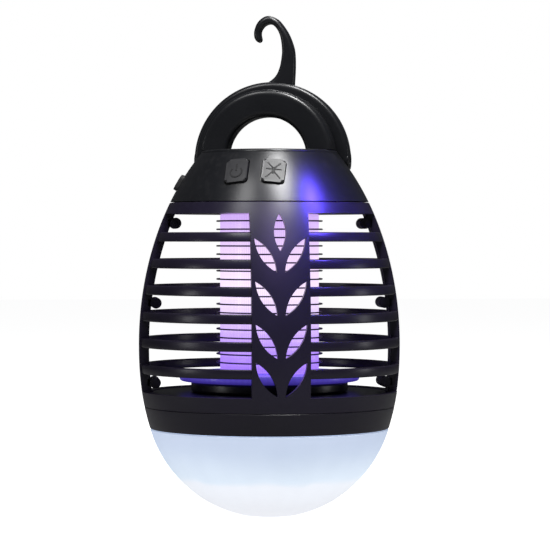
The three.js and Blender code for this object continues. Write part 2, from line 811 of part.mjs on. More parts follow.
// The hook's outline, from the bail's crown up round the crook and back down to the bail.
// Points are measured from the bail's crown, on the lamp's axis.
function hookShape() {
  const base = pivotZ + bailRadius - hookSink;
  const at = (x, z) => new THREE.Vector2(hookShift + x, base + z);
  const root = -3.2;
  const start = at(8.4, root);
  const end = at(-3.2, root);
  const shape = new THREE.Shape();
  shape.moveTo(start.x, start.y);
  shape.lineTo(start.x + 0.2, base - 0.4);
  shape.splineThru([at(8.9, 5.6), at(8.7, 10.8), at(7.8, 14.2), at(6.5, 17.2)]);
  shape.splineThru([at(4.6, 20.1), at(2.6, 22.2), at(0, 23.2)]);
  shape.splineThru([at(-2.2, 22.7), at(-4.2, 20.9), at(-5.3, 18.2), at(-5.3, 15.9), at(-4.6, 14.6)]);
  shape.splineThru([at(-3.7, 14.1), at(-2.8, 14.9)]);
  shape.splineThru([at(-3.1, 17.0), at(-2.7, 18.6), at(-1.5, 19.9), at(0.1, 20.4)]);
  shape.splineThru([at(1.6, 19.8), at(3.1, 17.9), at(4.0, 15.2), at(4.4, 11.8), at(4.3, 9.2), at(3.6, 5.4)]);
  shape.splineThru([at(2.2, 2.4), at(-0.2, 0.4), at(-3.2, -0.6)]);
  shape.lineTo(end.x, end.y);
  return shape;
}

function hookBail() {
  const shape = new THREE.Shape();
  shape.moveTo(bailRadius, pivotZ);
  shape.absarc(0, pivotZ, bailRadius, 0, Math.PI);
  shape.lineTo(-bailInner, pivotZ);
  shape.absarc(0, pivotZ, bailInner, Math.PI, 0, true);
  shape.lineTo(bailRadius, pivotZ);
  let made = plate(shape, bailFront, bailBack, bailEdge, 14);
  made = made.add(plate(hookShape(), pivotY - hookWidth / 2, pivotY + hookWidth / 2, hookEdge, 2));
  for (const side of [-1, 1]) {
    const inner = side * bailInner;
    const outer = side * bailRadius;
    made = made.add(rod([inner, pivotY, pivotZ], [outer, pivotY, pivotZ], bailWidth / 2, 20));
    const through = [side * (bailInner - 1), pivotY, pivotZ];
    made = made.subtract(rod(through, [side * (bailRadius + 1), pivotY, pivotZ], pinRadius + clearance));
  }
  return made;
}

function mainBoard() {
  const low = floorTop + 1.2;
  const high = low + 1.6;
  const reach = holderScrewRadius - boardScrewGap;
  let made = discSolid(reach, low, high, 32);
  made = made.subtract(box([-30, -40, low - 1], [30, -8, high + 1]));
  made = made.subtract(framedBox(socketFrame, [-5.5, -8, -usbDepth - 4], [5.5, 8, 3]));
  made = made.add(box([2, 2, high - 0.5], [12, 10, high + 4]));
  made = made.add(box([-8, 3, high - 0.5], [-2, 8, high + 1.5]));
  return made;
}

function usbSocket() {
  const outer = padSolid(socketFrame, roundedRectangle(usbWidth, usbHeight, 0.7), -3.2 - usbDepth, -3.2);
  const mouth = roundedRectangle(usbWidth - 0.8, usbHeight - 0.8, 0.4);
  return outer.subtract(padSolid(socketFrame, mouth, -2.4 - usbDepth, -1));
}

function usbCover() {
  return padSolid(usbFrame, roundedRectangle(coverWidth, coverHeight, 1.2), -coverSeat, coverProud, 0.3);
}

function buildTop(group) {
  piece(group, 'top_housing', topHousing(), 'shell');
  const floorRim = eggRadius(floorTop + 0.4) - housingWall - clearance;
  const turns = turnedThirds.map((turn) => turn - topTurn);
  const holes = uprights(holderScrewRadius, turns, floorZ - 1, floorTop + 1, holderHoleRadius, 8);
  piece(group, 'housing_floor', discSolid(floorRim, floorZ, floorTop).subtract(holes), 'shell');
  piece(group, 'main_board', mainBoard(), 'board');
  piece(group, 'power_button', buttonSolid(powerFrame), 'button');
  piece(group, 'zapper_button', buttonSolid(zapperFrame), 'button');
  piece(group, 'power_switch', switchSolid(powerFrame), 'potting');
  piece(group, 'zapper_switch', switchSolid(zapperFrame), 'potting');
  piece(group, 'usb_socket', usbSocket(), 'steel');
  piece(group, 'usb_cover', usbCover(), 'rubber');
  piece(group, 'carry_arch', carryArch(), 'shell');
  piece(group, 'hook_bail', hookBail(), 'shell');
  const pinOuter = bailRadius - 0.5;
  const pinInner = bailInner - ledgeGap - pinReach;
  for (const [side, sign] of Object.entries(sideSigns)) {
    const made = rod([sign * pinInner, pivotY, pivotZ], [sign * pinOuter, pivotY, pivotZ], pinRadius);
    piece(group, `bail_pin_${side}`, made, 'steel');
  }
}

function buildHolderScrews(group) {
  turnedThirds.forEach((turn, i) => {
    const head = onCircle(holderScrewRadius, turn, floorTop + clearance + 1.1);
    const tip = onCircle(holderScrewRadius, turn, holderZ + 0.6);
    piece(group, `holder_screw_${i + 1}`, screw(head, tip, 2, 1.1, 1), 'steel');
  });
}

const lamp = new THREE.Group();
lamp.name = 'insect_zapper';
const top = new THREE.Group();
top.rotation.z = THREE.MathUtils.degToRad(topTurn);
lamp.add(top);
buildBase(lamp);
buildCage(lamp);
buildCore(lamp);
buildTop(top);
buildHolderScrews(lamp);

export default lamp;
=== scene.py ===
import json
import math

import bmesh
import bpy
from mathutils import Matrix, Vector


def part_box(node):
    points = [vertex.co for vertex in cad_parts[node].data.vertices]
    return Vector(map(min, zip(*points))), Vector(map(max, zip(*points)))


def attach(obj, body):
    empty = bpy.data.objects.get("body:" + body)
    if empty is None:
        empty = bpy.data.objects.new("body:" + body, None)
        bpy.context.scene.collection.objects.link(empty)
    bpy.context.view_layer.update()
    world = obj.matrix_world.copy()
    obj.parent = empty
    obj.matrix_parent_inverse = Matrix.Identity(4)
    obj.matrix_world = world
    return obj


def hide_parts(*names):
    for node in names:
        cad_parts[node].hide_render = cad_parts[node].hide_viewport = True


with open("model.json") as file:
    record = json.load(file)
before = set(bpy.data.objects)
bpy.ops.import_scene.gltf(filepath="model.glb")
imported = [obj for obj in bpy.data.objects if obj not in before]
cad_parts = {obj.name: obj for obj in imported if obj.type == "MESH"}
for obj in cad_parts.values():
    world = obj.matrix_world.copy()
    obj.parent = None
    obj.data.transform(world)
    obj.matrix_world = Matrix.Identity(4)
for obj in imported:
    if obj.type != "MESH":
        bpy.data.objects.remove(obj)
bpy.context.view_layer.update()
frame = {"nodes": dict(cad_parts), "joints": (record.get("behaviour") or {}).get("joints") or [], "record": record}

mm = 0.001
joints = {joint["name"]: joint for joint in frame["joints"]}
bailAxis = Vector(joints["bail_fold"]["axis"])
pivot = Vector(joints["bail_fold"]["pos_m"])
topTurn = math.atan2(-bailAxis.y, -bailAxis.x)
topMatrix = Matrix.Rotation(topTurn, 4, "Z")
pivotLocal = topMatrix.inverted() @ pivot  # the bail's pivot in the top's own frame


def lowZ(node):
    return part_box(node)[0][2]


def highZ(node):
    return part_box(node)[1][2]


def levels(node):
    return lowZ(node), highZ(node)


# The egg that the base ring, the cage and the top housing share.
egg = {
    "radius": 45 * mm,
    "topRadius": 22.7 * mm,
    "seamRadius": 41.1 * mm,
    "widestAboveGlobe": 28.9 * mm,
    "crownPower": 1.65,
    "bowlPower": 2.25,
}
seam = 0.15 * mm  # half of the gap between neighbouring pieces
globeSeam = lowZ("base_ring") - seam
topZ = highZ("top_housing")
widestZ = globeSeam + egg["widestAboveGlobe"]
crownShare = math.sqrt(1 - (egg["topRadius"] / egg["radius"]) ** egg["crownPower"])
crownReach = (topZ - widestZ) / crownShare
bowlShare = (1 - (egg["seamRadius"] / egg["radius"]) ** 2) ** (1 / egg["bowlPower"])
bowlReach = (widestZ - globeSeam) / bowlShare


def eggRadius(z):
    if z >= widestZ:
        share = min(1, (z - widestZ) / crownReach)
        return egg["radius"] * (1 - share**2) ** (1 / egg["crownPower"])
    share = min(1, (widestZ - z) / bowlReach)
    return egg["radius"] * math.sqrt(1 - share ** egg["bowlPower"])


def place(tree, kind, sockets=(), **settings):
    made = tree.nodes.new(kind)
    for key, value in settings.items():
        setattr(made, key, value)
    for key, value in dict(sockets).items():
        target = made.inputs[key]
        if isinstance(value, bpy.types.NodeSocket):
            tree.links.new(value, target)
        else:
            target.default_value = value
    return made


# The first output of a new node.
def flow(tree, kind, sockets=(), **settings):
    return place(tree, kind, sockets, **settings).outputs[0]


def calc(tree, operation, a, b=None):
    sockets = {0: a} if b is None else {0: a, 1: b}
    return flow(tree, "ShaderNodeMath", sockets, operation=operation)


def times(tree, a, b):
    return calc(tree, "MULTIPLY", a, b)


def objectPlace(tree):
    return tree.nodes.new("ShaderNodeTexCoord").outputs["Object"]


def mixColours(tree, factor, dark, light):
    sockets = {"Factor": factor, 6: dark, 7: light}
    return place(tree, "ShaderNodeMix", sockets, data_type="RGBA").outputs[2]


def newMaterial(name):
    material = bpy.data.materials.new(name)
    material.use_nodes = True
    return material, material.node_tree, material.node_tree.nodes["Principled BSDF"]


def linked(name, data):
    made = bpy.data.objects.new(name, data)
    bpy.context.scene.collection.objects.link(made)
    return made


view = {
    "distance": 848 * mm,
    "azimuth": -5.2,  # degrees, round from the leaf panel
    "eyeHeight": 95.6 * mm,
    "aimHeight": 82.9 * mm,
    "aimRight": 1.9 * mm,
    "lens": 161,
}


def makeCamera():
    turn = math.radians(view["azimuth"])
    back = Vector((math.sin(turn), -math.cos(turn), 0))
    right = Vector((math.cos(turn), math.sin(turn), 0))
    camera = linked("camera", bpy.data.cameras.new("camera"))
    camera.data.lens = view["lens"]
    camera.data.clip_start = 0.01
    camera.data.clip_end = 20
    camera.location = back * view["distance"] + Vector((0, 0, view["eyeHeight"]))
    aim = right * view["aimRight"] + Vector((0, 0, view["aimHeight"]))
    camera.rotation_euler = (aim - camera.location).to_track_quat("-Z", "Y").to_euler()
    bpy.context.scene.camera = camera


softboxes = {
    "crownKey": {"at": (0.085, -0.27, 0.66), "aim": (0, -0.02, 0.11), "size": (0.14, 0.26), "watts": 5.2},
    "overhead": {"at": (-0.26, -0.30, 0.56), "aim": (0, 0, 0.10), "size": (0.14, 0.20), "watts": 0.9},
    "leftStrip": {"at": (-0.60, -0.12, 0.07), "aim": (0, 0, 0.05), "size": (0.08, 0.30), "watts": 0.35},
    "rightStrip": {"at": (0.60, -0.05, 0.07), "aim": (0, 0, 0.05), "size": (0.08, 0.30), "watts": 0.25},
    "rimLight": {"at": (0.10, 0.34, 0.66), "aim": (0, 0, 0.15), "size": (0.16, 0.16), "watts": 0.8},
    "violetFill": {
        "at": (0.02, -0.42, 0.40), "aim": (0, -0.04, 0.09), "size": (0.20, 0.20), "watts": 0.50,
        "colour": (0.50, 0.34, 1.0), "only": ("frontHalf", "frontSlats"),
    },
    "blueGlow": {
        "at": (0.125, -0.10, 0.25), "aim": (0.017, -0.033, 0.102), "size": (0.03, 0.03), "watts": 0.013,
        "colour": (0.10, 0.06, 1.0), "spread": 14, "only": ("frontHalf", "frontSlats", "housingShell"),
    },
}


def makeLights():
    for name, box in softboxes.items():
        light = bpy.data.lights.new(name, "AREA")
        light.shape = "RECTANGLE"
        light.size, light.size_y = box["size"]
        light.energy = box["watts"]
        light.color = box.get("colour", (1, 1, 1))
        light.spread = math.radians(box.get("spread", 180))
        lamp = linked(name, light)
        lamp.location = box["at"]
        aim = Vector(box["aim"]) - lamp.location
        lamp.rotation_euler = aim.to_track_quat("-Z", "Y").to_euler()


# The coloured lights stand for the glow round the grid, so they reach only the named pieces.
def linkLights():
    for name, box in softboxes.items():
        if "only" not in box:
            continue
        reached = bpy.data.collections.new(name + "Reach")
        for pieceName in box["only"]:
            reached.objects.link(bpy.data.objects[pieceName])
        bpy.data.objects[name].light_linking.receiver_collection = reached


studio = {
    "backdrop": 1.0, "surround": 0.045, "surroundColour": (0.93, 0.95, 1, 1),
    "floorGlow": 0.935, "floorColour": 0.85, "floorBounce": 0.22, "floorSize": 6,
}


def makeWorld():
    world = bpy.data.worlds.new("studio")
    world.use_nodes = True
    tree = world.node_tree
    tree.nodes.clear()
    seen = tree.nodes.new("ShaderNodeLightPath").outputs["Is Camera Ray"]
    backdrop = place(tree, "ShaderNodeBackground", {"Strength": studio["backdrop"], "Color": (1, 1, 1, 1)})
    sockets = {"Strength": studio["surround"], "Color": studio["surroundColour"]}
    around = place(tree, "ShaderNodeBackground", sockets)
    mix = place(tree, "ShaderNodeMixShader", {0: seen, 1: around.outputs[0], 2: backdrop.outputs[0]})
    place(tree, "ShaderNodeOutputWorld", {"Surface": mix.outputs[0]})
    bpy.context.scene.world = world


# The floor is pale where it is seen, but it throws little light back up at the lamp.
def makeFloor():
    half = studio["floorSize"] / 2
    mesh = bpy.data.meshes.new("floor")
    corners = [(-half, -half, 0), (half, -half, 0), (half, half, 0), (-half, half, 0)]
    mesh.from_pydata(corners, [], [(0, 1, 2, 3)])
    floor = linked("floor", mesh)
    material, tree, shader = newMaterial("paleFloor")
    shader.inputs["Roughness"].default_value = 0.9
    shader.inputs["Specular IOR Level"].default_value = 0.1
    shader.inputs["Emission Color"].default_value = (1, 1, 1, 1)
    seen = tree.nodes.new("ShaderNodeLightPath").outputs["Is Camera Ray"]
    bounce, colour = ((studio[key],) * 3 + (1,) for key in ("floorBounce", "floorColour"))
    tree.links.new(mixColours(tree, seen, bounce, colour), shader.inputs["Base Color"])
    glow = times(tree, seen, studio["floorGlow"])
    tree.links.new(glow, shader.inputs["Emission Strength"])
    mesh.materials.append(material)


bpy.context.scene.view_settings.view_transform = "Standard"
makeCamera()
makeLights()
makeWorld()
makeFloor()
print("stage: camera, lights and floor")


def shaderGroup(name, inputs, outputs):
    tree = bpy.data.node_groups.new(name, "ShaderNodeTree")
    for label, value in inputs:
        socket = tree.interface.new_socket(label, in_out="INPUT", socket_type="NodeSocketFloat")
        socket.default_value = value
    for label in outputs:
        tree.interface.new_socket(label, in_out="OUTPUT", socket_type="NodeSocketFloat")
    return tree, tree.nodes.new("NodeGroupInput").outputs, tree.nodes.new("NodeGroupOutput").inputs


# Moulding grain: a fine height, a slow mottle and a roughness that changes over the surface.
def makeGrainGroup():
    inputs = (("Grain Size", 900.0), ("Mottle Size", 60.0), ("Roughness", 0.4), ("Spread", 0.1))
    tree, given, out = shaderGroup("mouldGrain", inputs, ("Height", "Mottle", "Roughness"))
    where = objectPlace(tree)
    sockets = {"Vector": where, "Scale": given["Grain Size"]}
    fine = flow(tree, "ShaderNodeTexNoise", {**sockets, "Detail": 3.0})
    pores = place(tree, "ShaderNodeTexVoronoi", sockets).outputs["Distance"]
    sockets = {"Vector": where, "Scale": given["Mottle Size"], "Detail": 4.0}
    slow = flow(tree, "ShaderNodeTexNoise", sockets)
    height = calc(tree, "ADD", fine, times(tree, pores, 0.5))
    swing = times(tree, calc(tree, "SUBTRACT", slow, 0.5), given["Spread"])
    tree.links.new(height, out["Height"])
    tree.links.new(slow, out["Mottle"])
    tree.links.new(calc(tree, "ADD", given["Roughness"], swing), out["Roughness"])
    return tree


# Dust that settles on faces that look up.
def makeDustGroup():
    tree, given, out = shaderGroup("settledDust", (("Amount", 0.1),), ("Mask",))
    normal = tree.nodes.new("ShaderNodeNewGeometry").outputs["Normal"]
    rise = place(tree, "ShaderNodeSeparateXYZ", {0: normal}).outputs["Z"]
    specks = flow(tree, "ShaderNodeTexNoise", {"Vector": objectPlace(tree), "Scale": 420.0, "Detail": 5.0})
    upward = flow(tree, "ShaderNodeMapRange", {"Value": rise, "From Min": 0.3, "From Max": 1.0})
    cloud = flow(tree, "ShaderNodeMapRange", {"Value": specks, "From Min": 0.5, "From Max": 0.75})
    both = times(tree, upward, cloud)
    tree.links.new(times(tree, both, given["Amount"]), out["Mask"])
    return tree


grainGroup = makeGrainGroup()
dustGroup = makeDustGroup()


def grainNode(tree, size, rough, spread):
    made = tree.nodes.new("ShaderNodeGroup")
    made.node_tree = grainGroup
    for key, value in (("Grain Size", size), ("Roughness", rough), ("Spread", spread)):
        made.inputs[key].default_value = value
    return made


grainDepth = 0.1 * mm
dustColour = (0.42, 0.41, 0.40, 1)
plastics = {
    "shellBlack": {"dark": (0.006, 0.0065, 0.008, 1), "light": (0.010, 0.0105, 0.013, 1), "rough": 0.31,
                   "spread": 0.12, "grain": 1500.0, "bump": 0.05, "dust": 0.05},
    "cageBlack": {"dark": (0.009, 0.007, 0.016, 1), "light": (0.014, 0.011, 0.026, 1), "rough": 0.34,
                  "spread": 0.10, "grain": 1500.0, "bump": 0.04, "dust": 0.05},
    "slatBlack": {"dark": (0.009, 0.007, 0.015, 1), "light": (0.015, 0.012, 0.026, 1), "rough": 0.30,
                  "spread": 0.10, "grain": 1500.0, "bump": 0.04, "dust": 0.05},
    # The icon marks are coloured darker than the button's face: painted shade standing for the dark shading lines
    # round the raised marks.
    "iconPaint": {"dark": (0.010, 0.010, 0.011, 1), "light": (0.013, 0.013, 0.015, 1), "rough": 0.55,
                  "spread": 0.10, "grain": 1900.0, "bump": 0.05, "dust": 0.0, "specular": 0.35},
    "buttonBlack": {"dark": (0.014, 0.014, 0.016, 1), "light": (0.022, 0.022, 0.026, 1), "rough": 0.42,
                    "spread": 0.12, "grain": 1900.0, "bump": 0.08, "dust": 0.03},
    "rubberBlack": {"dark": (0.010, 0.010, 0.011, 1), "light": (0.016, 0.016, 0.017, 1), "rough": 0.7,
                    "spread": 0.15, "grain": 1100.0, "bump": 0.16, "dust": 0.12},
    "pottingBlack": {"dark": (0.012, 0.012, 0.014, 1), "light": (0.024, 0.024, 0.028, 1), "rough": 0.55,
                     "spread": 0.2, "grain": 500.0, "bump": 0.1, "dust": 0.1},
    "boardGreen": {"dark": (0.012, 0.07, 0.03, 1), "light": (0.02, 0.11, 0.045, 1), "rough": 0.38,
                   "spread": 0.2, "grain": 700.0, "bump": 0.05, "dust": 0.1},
    "cellBlue": {"dark": (0.03, 0.08, 0.25, 1), "light": (0.05, 0.12, 0.34, 1), "rough": 0.35,
                 "spread": 0.1, "grain": 300.0, "bump": 0.04, "dust": 0.08},
}


# Gives a shader the grain's roughness and its fine height.
def grained(tree, shader, grain, strength):
    sockets = {"Height": grain.outputs["Height"], "Strength": strength, "Distance": grainDepth}
    bump = place(tree, "ShaderNodeBump", sockets)
    tree.links.new(grain.outputs["Roughness"], shader.inputs["Roughness"])
    tree.links.new(bump.outputs["Normal"], shader.inputs["Normal"])


def mouldedPlastic(name):
    look = plastics[name]
    material, tree, shader = newMaterial(name)
    grain = grainNode(tree, look["grain"], look["rough"], look["spread"])
    dust = tree.nodes.new("ShaderNodeGroup")
    dust.node_tree = dustGroup
    dust.inputs["Amount"].default_value = look["dust"]
    base = mixColours(tree, grain.outputs["Mottle"], look["dark"], look["light"])
    dusty = mixColours(tree, dust.outputs["Mask"], base, dustColour)
    shader.inputs["Specular IOR Level"].default_value = look.get("specular", 0.5)
    tree.links.new(dusty, shader.inputs["Base Color"])
    grained(tree, shader, grain, look["bump"])
    return material


metals = {
    "platedSteel": {"dark": (0.42, 0.42, 0.44, 1), "light": (0.62, 0.62, 0.64, 1), "rough": 0.28,
                    "spread": 0.2, "grain": 2200.0, "bump": 0.06, "metallic": 0.9},
    "gridWire": {"dark": (0.10, 0.08, 0.15, 1), "light": (0.22, 0.18, 0.30, 1), "rough": 0.35,
                 "spread": 0.2, "grain": 2200.0, "bump": 0.06, "metallic": 0.9},
}


def drawnMetal(name):
    look = metals[name]
    material, tree, shader = newMaterial(name)
    grain = grainNode(tree, look["grain"], look["rough"], look["spread"])
    base = mixColours(tree, grain.outputs["Mottle"], look["dark"], look["light"])
    shader.inputs["Metallic"].default_value = look["metallic"]
    tree.links.new(base, shader.inputs["Base Color"])
    grained(tree, shader, grain, look["bump"])
    return material


# A colour that changes with the height in a piece, with a slow drift so that no band is dead level.
def heightRamp(tree, low, high, stops):
    where = objectPlace(tree)
    z = place(tree, "ShaderNodeSeparateXYZ", {0: where}).outputs["Z"]
    level = flow(tree, "ShaderNodeMapRange", {"Value": z, "From Min": low, "From Max": high})
    wobble = flow(tree, "ShaderNodeTexNoise", {"Vector": where, "Scale": 90.0, "Detail": 2.0})
    drift = times(tree, calc(tree, "SUBTRACT", wobble, 0.5), 0.12)
    ramp = place(tree, "ShaderNodeValToRGB", {0: calc(tree, "ADD", level, drift)})
    elements = ramp.color_ramp.elements
    while len(elements) < len(stops):
        elements.new(0.5)
    for element, (position, colour) in zip(elements, stops):
        element.position = position
        element.color = (*colour, 1)
    return ramp.outputs["Color"]


glows = {
    "tubeGlow": {
        "stops": [(0.0, (0.30, 0.14, 0.80)), (0.22, (0.52, 0.33, 0.92)), (0.5, (0.93, 0.78, 1.0)),
                  (0.72, (0.88, 0.68, 1.0)), (1.0, (0.58, 0.38, 0.86))],
        "dark": (0.705, 0.5828, 0.846, 1), "light": (0.75, 0.62, 0.9, 1), "strength": 1.15, "rough": 0.25,
        "spread": 0.1, "grain": 800.0, "bump": 0.05, "node": "uv_light_tube",
        "flutes": 150, "fluteDepth": 0.22,
    },
    "discGlow": {
        "stops": [(0.0, (0.035, 0.022, 0.26)), (0.6, (0.085, 0.055, 0.50)), (1.0, (0.12, 0.09, 0.62))],
        "dark": (0.047, 0.0376, 0.282, 1), "light": (0.05, 0.04, 0.3, 1), "strength": 0.75, "rough": 0.25,
        "spread": 0.1, "grain": 800.0, "bump": 0.04, "node": "glow_disc",
        "flutes": 90, "fluteDepth": 0.08,
    },
    # The globe is no lamp: its emission is painted light, brighter low down and bluer and dimmer towards the top,
    # standing for how the studio light falls on the milky shell.
    "globeMilk": {
        "stops": [(0.0, (0.90, 0.91, 0.95)), (0.37, (0.86, 0.89, 0.95)), (0.42, (0.70, 0.81, 0.93)),
                  (0.72, (0.49, 0.59, 0.77)), (0.92, (0.42, 0.51, 0.70))],
        "dark": (0.752, 0.7896, 0.8648, 1), "light": (0.80, 0.84, 0.92, 1), "strength": 0.80, "rough": 0.30,
        "spread": 0.1, "grain": 800.0, "bump": 0.02, "node": "lantern_globe",
        "flutes": 24, "fluteDepth": 0.02,
    },
}


# Fine upright ribs, counted round Z, as a brightness that dips between the ribs.
def fluteMask(tree, count, depth):
    where = objectPlace(tree)
    split = place(tree, "ShaderNodeSeparateXYZ", {0: where})
    angle = calc(tree, "ARCTAN2", split.outputs["Y"], split.outputs["X"])
    wave = calc(tree, "COSINE", times(tree, angle, float(count)))
    dip = times(tree, calc(tree, "ADD", wave, 1.0), depth / 2)
    return calc(tree, "SUBTRACT", 1.0, dip)


def glowingPlastic(name):
    look = glows[name]
    material, tree, shader = newMaterial(name)
    grain = grainNode(tree, look["grain"], look["rough"], look["spread"])
    light = heightRamp(tree, *levels(look["node"]), look["stops"])
    base = mixColours(tree, grain.outputs["Mottle"], look["dark"], look["light"])
    flutes = fluteMask(tree, look["flutes"], look["fluteDepth"])
    ribbed = place(tree, "ShaderNodeVectorMath", {0: light, "Scale": flutes}, operation="SCALE")
    tree.links.new(base, shader.inputs["Base Color"])
    tree.links.new(ribbed.outputs[0], shader.inputs["Emission Color"])
    shader.inputs["Emission Strength"].default_value = look["strength"]
    grained(tree, shader, grain, look["bump"])
    return material


finishes = {name: mouldedPlastic(name) for name in plastics}
finishes.update({name: drawnMetal(name) for name in metals})
finishes.update({name: glowingPlastic(name) for name in glows})
print("stage: materials")


far = 60 * mm  # clear of the lamp's sides, for cutters


def fromBmesh(name, bm, outward=True):
    if outward:
        bmesh.ops.recalc_face_normals(bm, faces=bm.faces)
    mesh = bpy.data.meshes.new(name)
    bm.to_mesh(mesh)
    bm.free()
    return linked(name, mesh)


def smooth(piece, degrees=40):
    piece.data.shade_smooth()
    piece.data.set_sharp_from_angle(angle=math.radians(degrees))
    return piece


def discarded(piece):
    mesh = piece.data
    bpy.data.objects.remove(piece)
    bpy.data.meshes.remove(mesh)


# The object as its modifiers leave it, as a plain mesh.
def meshOf(piece):
    bpy.context.view_layer.update()
    return bpy.data.meshes.new_from_object(piece.evaluated_get(bpy.context.evaluated_depsgraph_get()))


def applied(piece):
    mesh = meshOf(piece)
    old = piece.data
    piece.modifiers.clear()
    piece.data = mesh
    bpy.data.meshes.remove(old)
    mesh.name = piece.name
    return piece


def combined(name, pieces):
    bm = bmesh.new()
    for piece in pieces:
        bm.from_mesh(piece.data)
    for piece in pieces:
        discarded(piece)
    return fromBmesh(name, bm, outward=False)


def booleaned(piece, tool, operation="DIFFERENCE"):
    step = piece.modifiers.new("cut", "BOOLEAN")
    step.operation = operation
    step.solver = "EXACT"
    step.object = tool
    applied(piece)
    discarded(tool)
    return piece


def bow(start, middle, end, t):
    return start * (1 - t) ** 2 + middle * 2 * t * (1 - t) + end * t * t


# Rounds the corners of a closed outline; each corner is (x, y) or (x, y, radius).
def filleted(corners, radius, steps=4):
    points = []
    count = len(corners)
    for i, corner in enumerate(corners):
        here = Vector(corner[:2])
        size = corner[2] if len(corner) > 2 else radius
        before = Vector(corners[i - 1][:2]) - here
        after = Vector(corners[(i + 1) % count][:2]) - here
        if size <= 0:
            points.append(tuple(here))
            continue
        reach = min(size, before.length * 0.49, after.length * 0.49)
        start = here + before.normalized() * reach
        end = here + after.normalized() * reach
        points += [tuple(bow(start, here, end, step / steps)) for step in range(steps + 1)]
    return points


# Turns a profile of (radius, z) points about Z. An open profile starts and ends on the axis.
def lathe(name, profile, steps=160, closed=False):
    bm = bmesh.new()
    rings = []
    for radius, z in profile:
        if radius < 1e-7:
            rings.append([bm.verts.new((0, 0, z))])
            continue
        turns = [2 * math.pi * i / steps for i in range(steps)]
        rings.append([bm.verts.new((radius * math.cos(t), radius * math.sin(t), z)) for t in turns])
    pairs = list(zip(rings, rings[1:]))
    if closed:
        pairs.append((rings[-1], rings[0]))
    for low, high in pairs:
        for i in range(steps):
            j = (i + 1) % steps
            around = (low[i % len(low)], low[j % len(low)], high[j % len(high)], high[i % len(high)])
            corners = list(dict.fromkeys(around))  # a ring on the axis has one corner
            if len(corners) > 2:
                bm.faces.new(corners)
    return fromBmesh(name, bm)


def boxPiece(name, low, high):
    bm = bmesh.new()
    bmesh.ops.create_cube(bm, size=1)
    for vertex in bm.verts:
        vertex.co = Vector(a + (part + 0.5) * (b - a) for a, b, part in zip(low, high, vertex.co))
    return fromBmesh(name, bm)


def rodPiece(name, start, end, radius, steps=32):
    start, end = Vector(start), Vector(end)
    bm = bmesh.new()
    length = (end - start).length
    bmesh.ops.create_cone(bm, cap_ends=True, segments=steps, radius1=radius, radius2=radius, depth=length)
    turn = (end - start).to_track_quat("Z", "Y").to_matrix().to_4x4()
    bmesh.ops.transform(bm, matrix=Matrix.Translation((start + end) / 2) @ turn, verts=bm.verts)
    return fromBmesh(name, bm)


# A slab with the given outline in a frame's x and y, from low to high along its z, with a rounded top edge.
def slab(name, outline, matrix, low, high, edge=0.0, segments=4):
    bm = bmesh.new()
    bottom = [bm.verts.new((x, y, low)) for x, y in outline]
    top = [bm.verts.new((x, y, high)) for x, y in outline]
    bm.faces.new(bottom)
    cap = bm.faces.new(top)
    count = len(outline)
    for i in range(count):
        j = (i + 1) % count
        bm.faces.new((bottom[i], bottom[j], top[j], top[i]))
    if edge > 0:
        rim = list(cap.edges)
        bmesh.ops.bevel(bm, geom=rim, offset=edge, segments=segments, profile=0.5, affect="EDGES")
    bmesh.ops.transform(bm, matrix=matrix, verts=bm.verts)
    return fromBmesh(name, bm)


def rectangleOutline(width, height, corner, steps=6):
    x, y = width / 2, height / 2
    return filleted([(x, -y), (x, y), (-x, y), (-x, -y)], corner * 1.25, steps)


# Frame on the sloping wall, in the top's own frame: x runs round, y up the slope, z out.
def slopeFrame(degrees, z):
    turn = math.radians(degrees)
    step = 0.5 * mm
    lean = math.atan((eggRadius(z - step) - eggRadius(z + step)) / (2 * step))
    out = Vector((math.sin(turn), -math.cos(turn), 0))
    around = Vector((math.cos(turn), math.sin(turn), 0))
    up = Vector((0, 0, 1))
    slopeUp = up * math.cos(lean) - out * math.sin(lean)
    normal = out * math.cos(lean) + up * math.sin(lean)
    matrix = Matrix((around, slopeUp, normal)).transposed().to_4x4()
    matrix.translation = out * eggRadius(z) + Vector((0, 0, z))
    return matrix


def dress(piece, finish, *nodes, body="lamp_body", slotName="shell"):
    piece.data.materials.clear()
    piece.data.materials.append(finishes[finish])
    if nodes:
        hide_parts(*nodes)
    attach(piece, body)
    return piece


def onTop(piece):
    piece.data.transform(topMatrix)
    return piece


def nodeTree(name, sizes):
    tree = bpy.data.node_groups.new(name, "GeometryNodeTree")
    tree.interface.new_socket("Geometry", in_out="OUTPUT", socket_type="NodeSocketGeometry")
    inputs = [(label, "NodeSocketFloat") for label in sizes]
    for label, kind in inputs + [("Count", "NodeSocketInt"), ("Material", "NodeSocketMaterial")]:
        tree.interface.new_socket(label, in_out="INPUT", socket_type=kind)
    return tree, tree.nodes.new("NodeGroupInput").outputs, tree.nodes.new("NodeGroupOutput").inputs


# Copies of one shape, one per level.
def stacked(tree, given, shape):
    start = flow(tree, "ShaderNodeCombineXYZ", {"Z": given["First Level"]})
    offset = flow(tree, "ShaderNodeCombineXYZ", {"Z": given["Pitch"]})
    sockets = {"Count": given["Count"], "Start Location": start, "Offset": offset}
    row = flow(tree, "GeometryNodeMeshLine", sockets)
    return flow(tree, "GeometryNodeInstanceOnPoints", {"Points": row, "Instance": shape})


# Every tree ends as plain faces with their material.
def ended(tree, geometry, given, out):
    real = flow(tree, "GeometryNodeRealizeInstances", {0: geometry})
    sockets = {"Geometry": real, "Material": given["Material"]}
    tree.links.new(flow(tree, "GeometryNodeSetMaterial", sockets), out[0])
    return tree


def grown(name, tree, values):
    piece = linked(name, bpy.data.meshes.new(name))
    step = piece.modifiers.new("grow", "NODES")
    step.node_group = tree
    for item in tree.interface.items_tree:
        if item.in_out == "INPUT":
            step[item.identifier] = values[item.name]
    return applied(piece)


print("stage: helpers")


def eggPoints(low, high, inset=0.0, steps=28):
    heights = [low + (high - low) * i / steps for i in range(steps + 1)]
    return [(eggRadius(z) - inset, z) for z in heights]


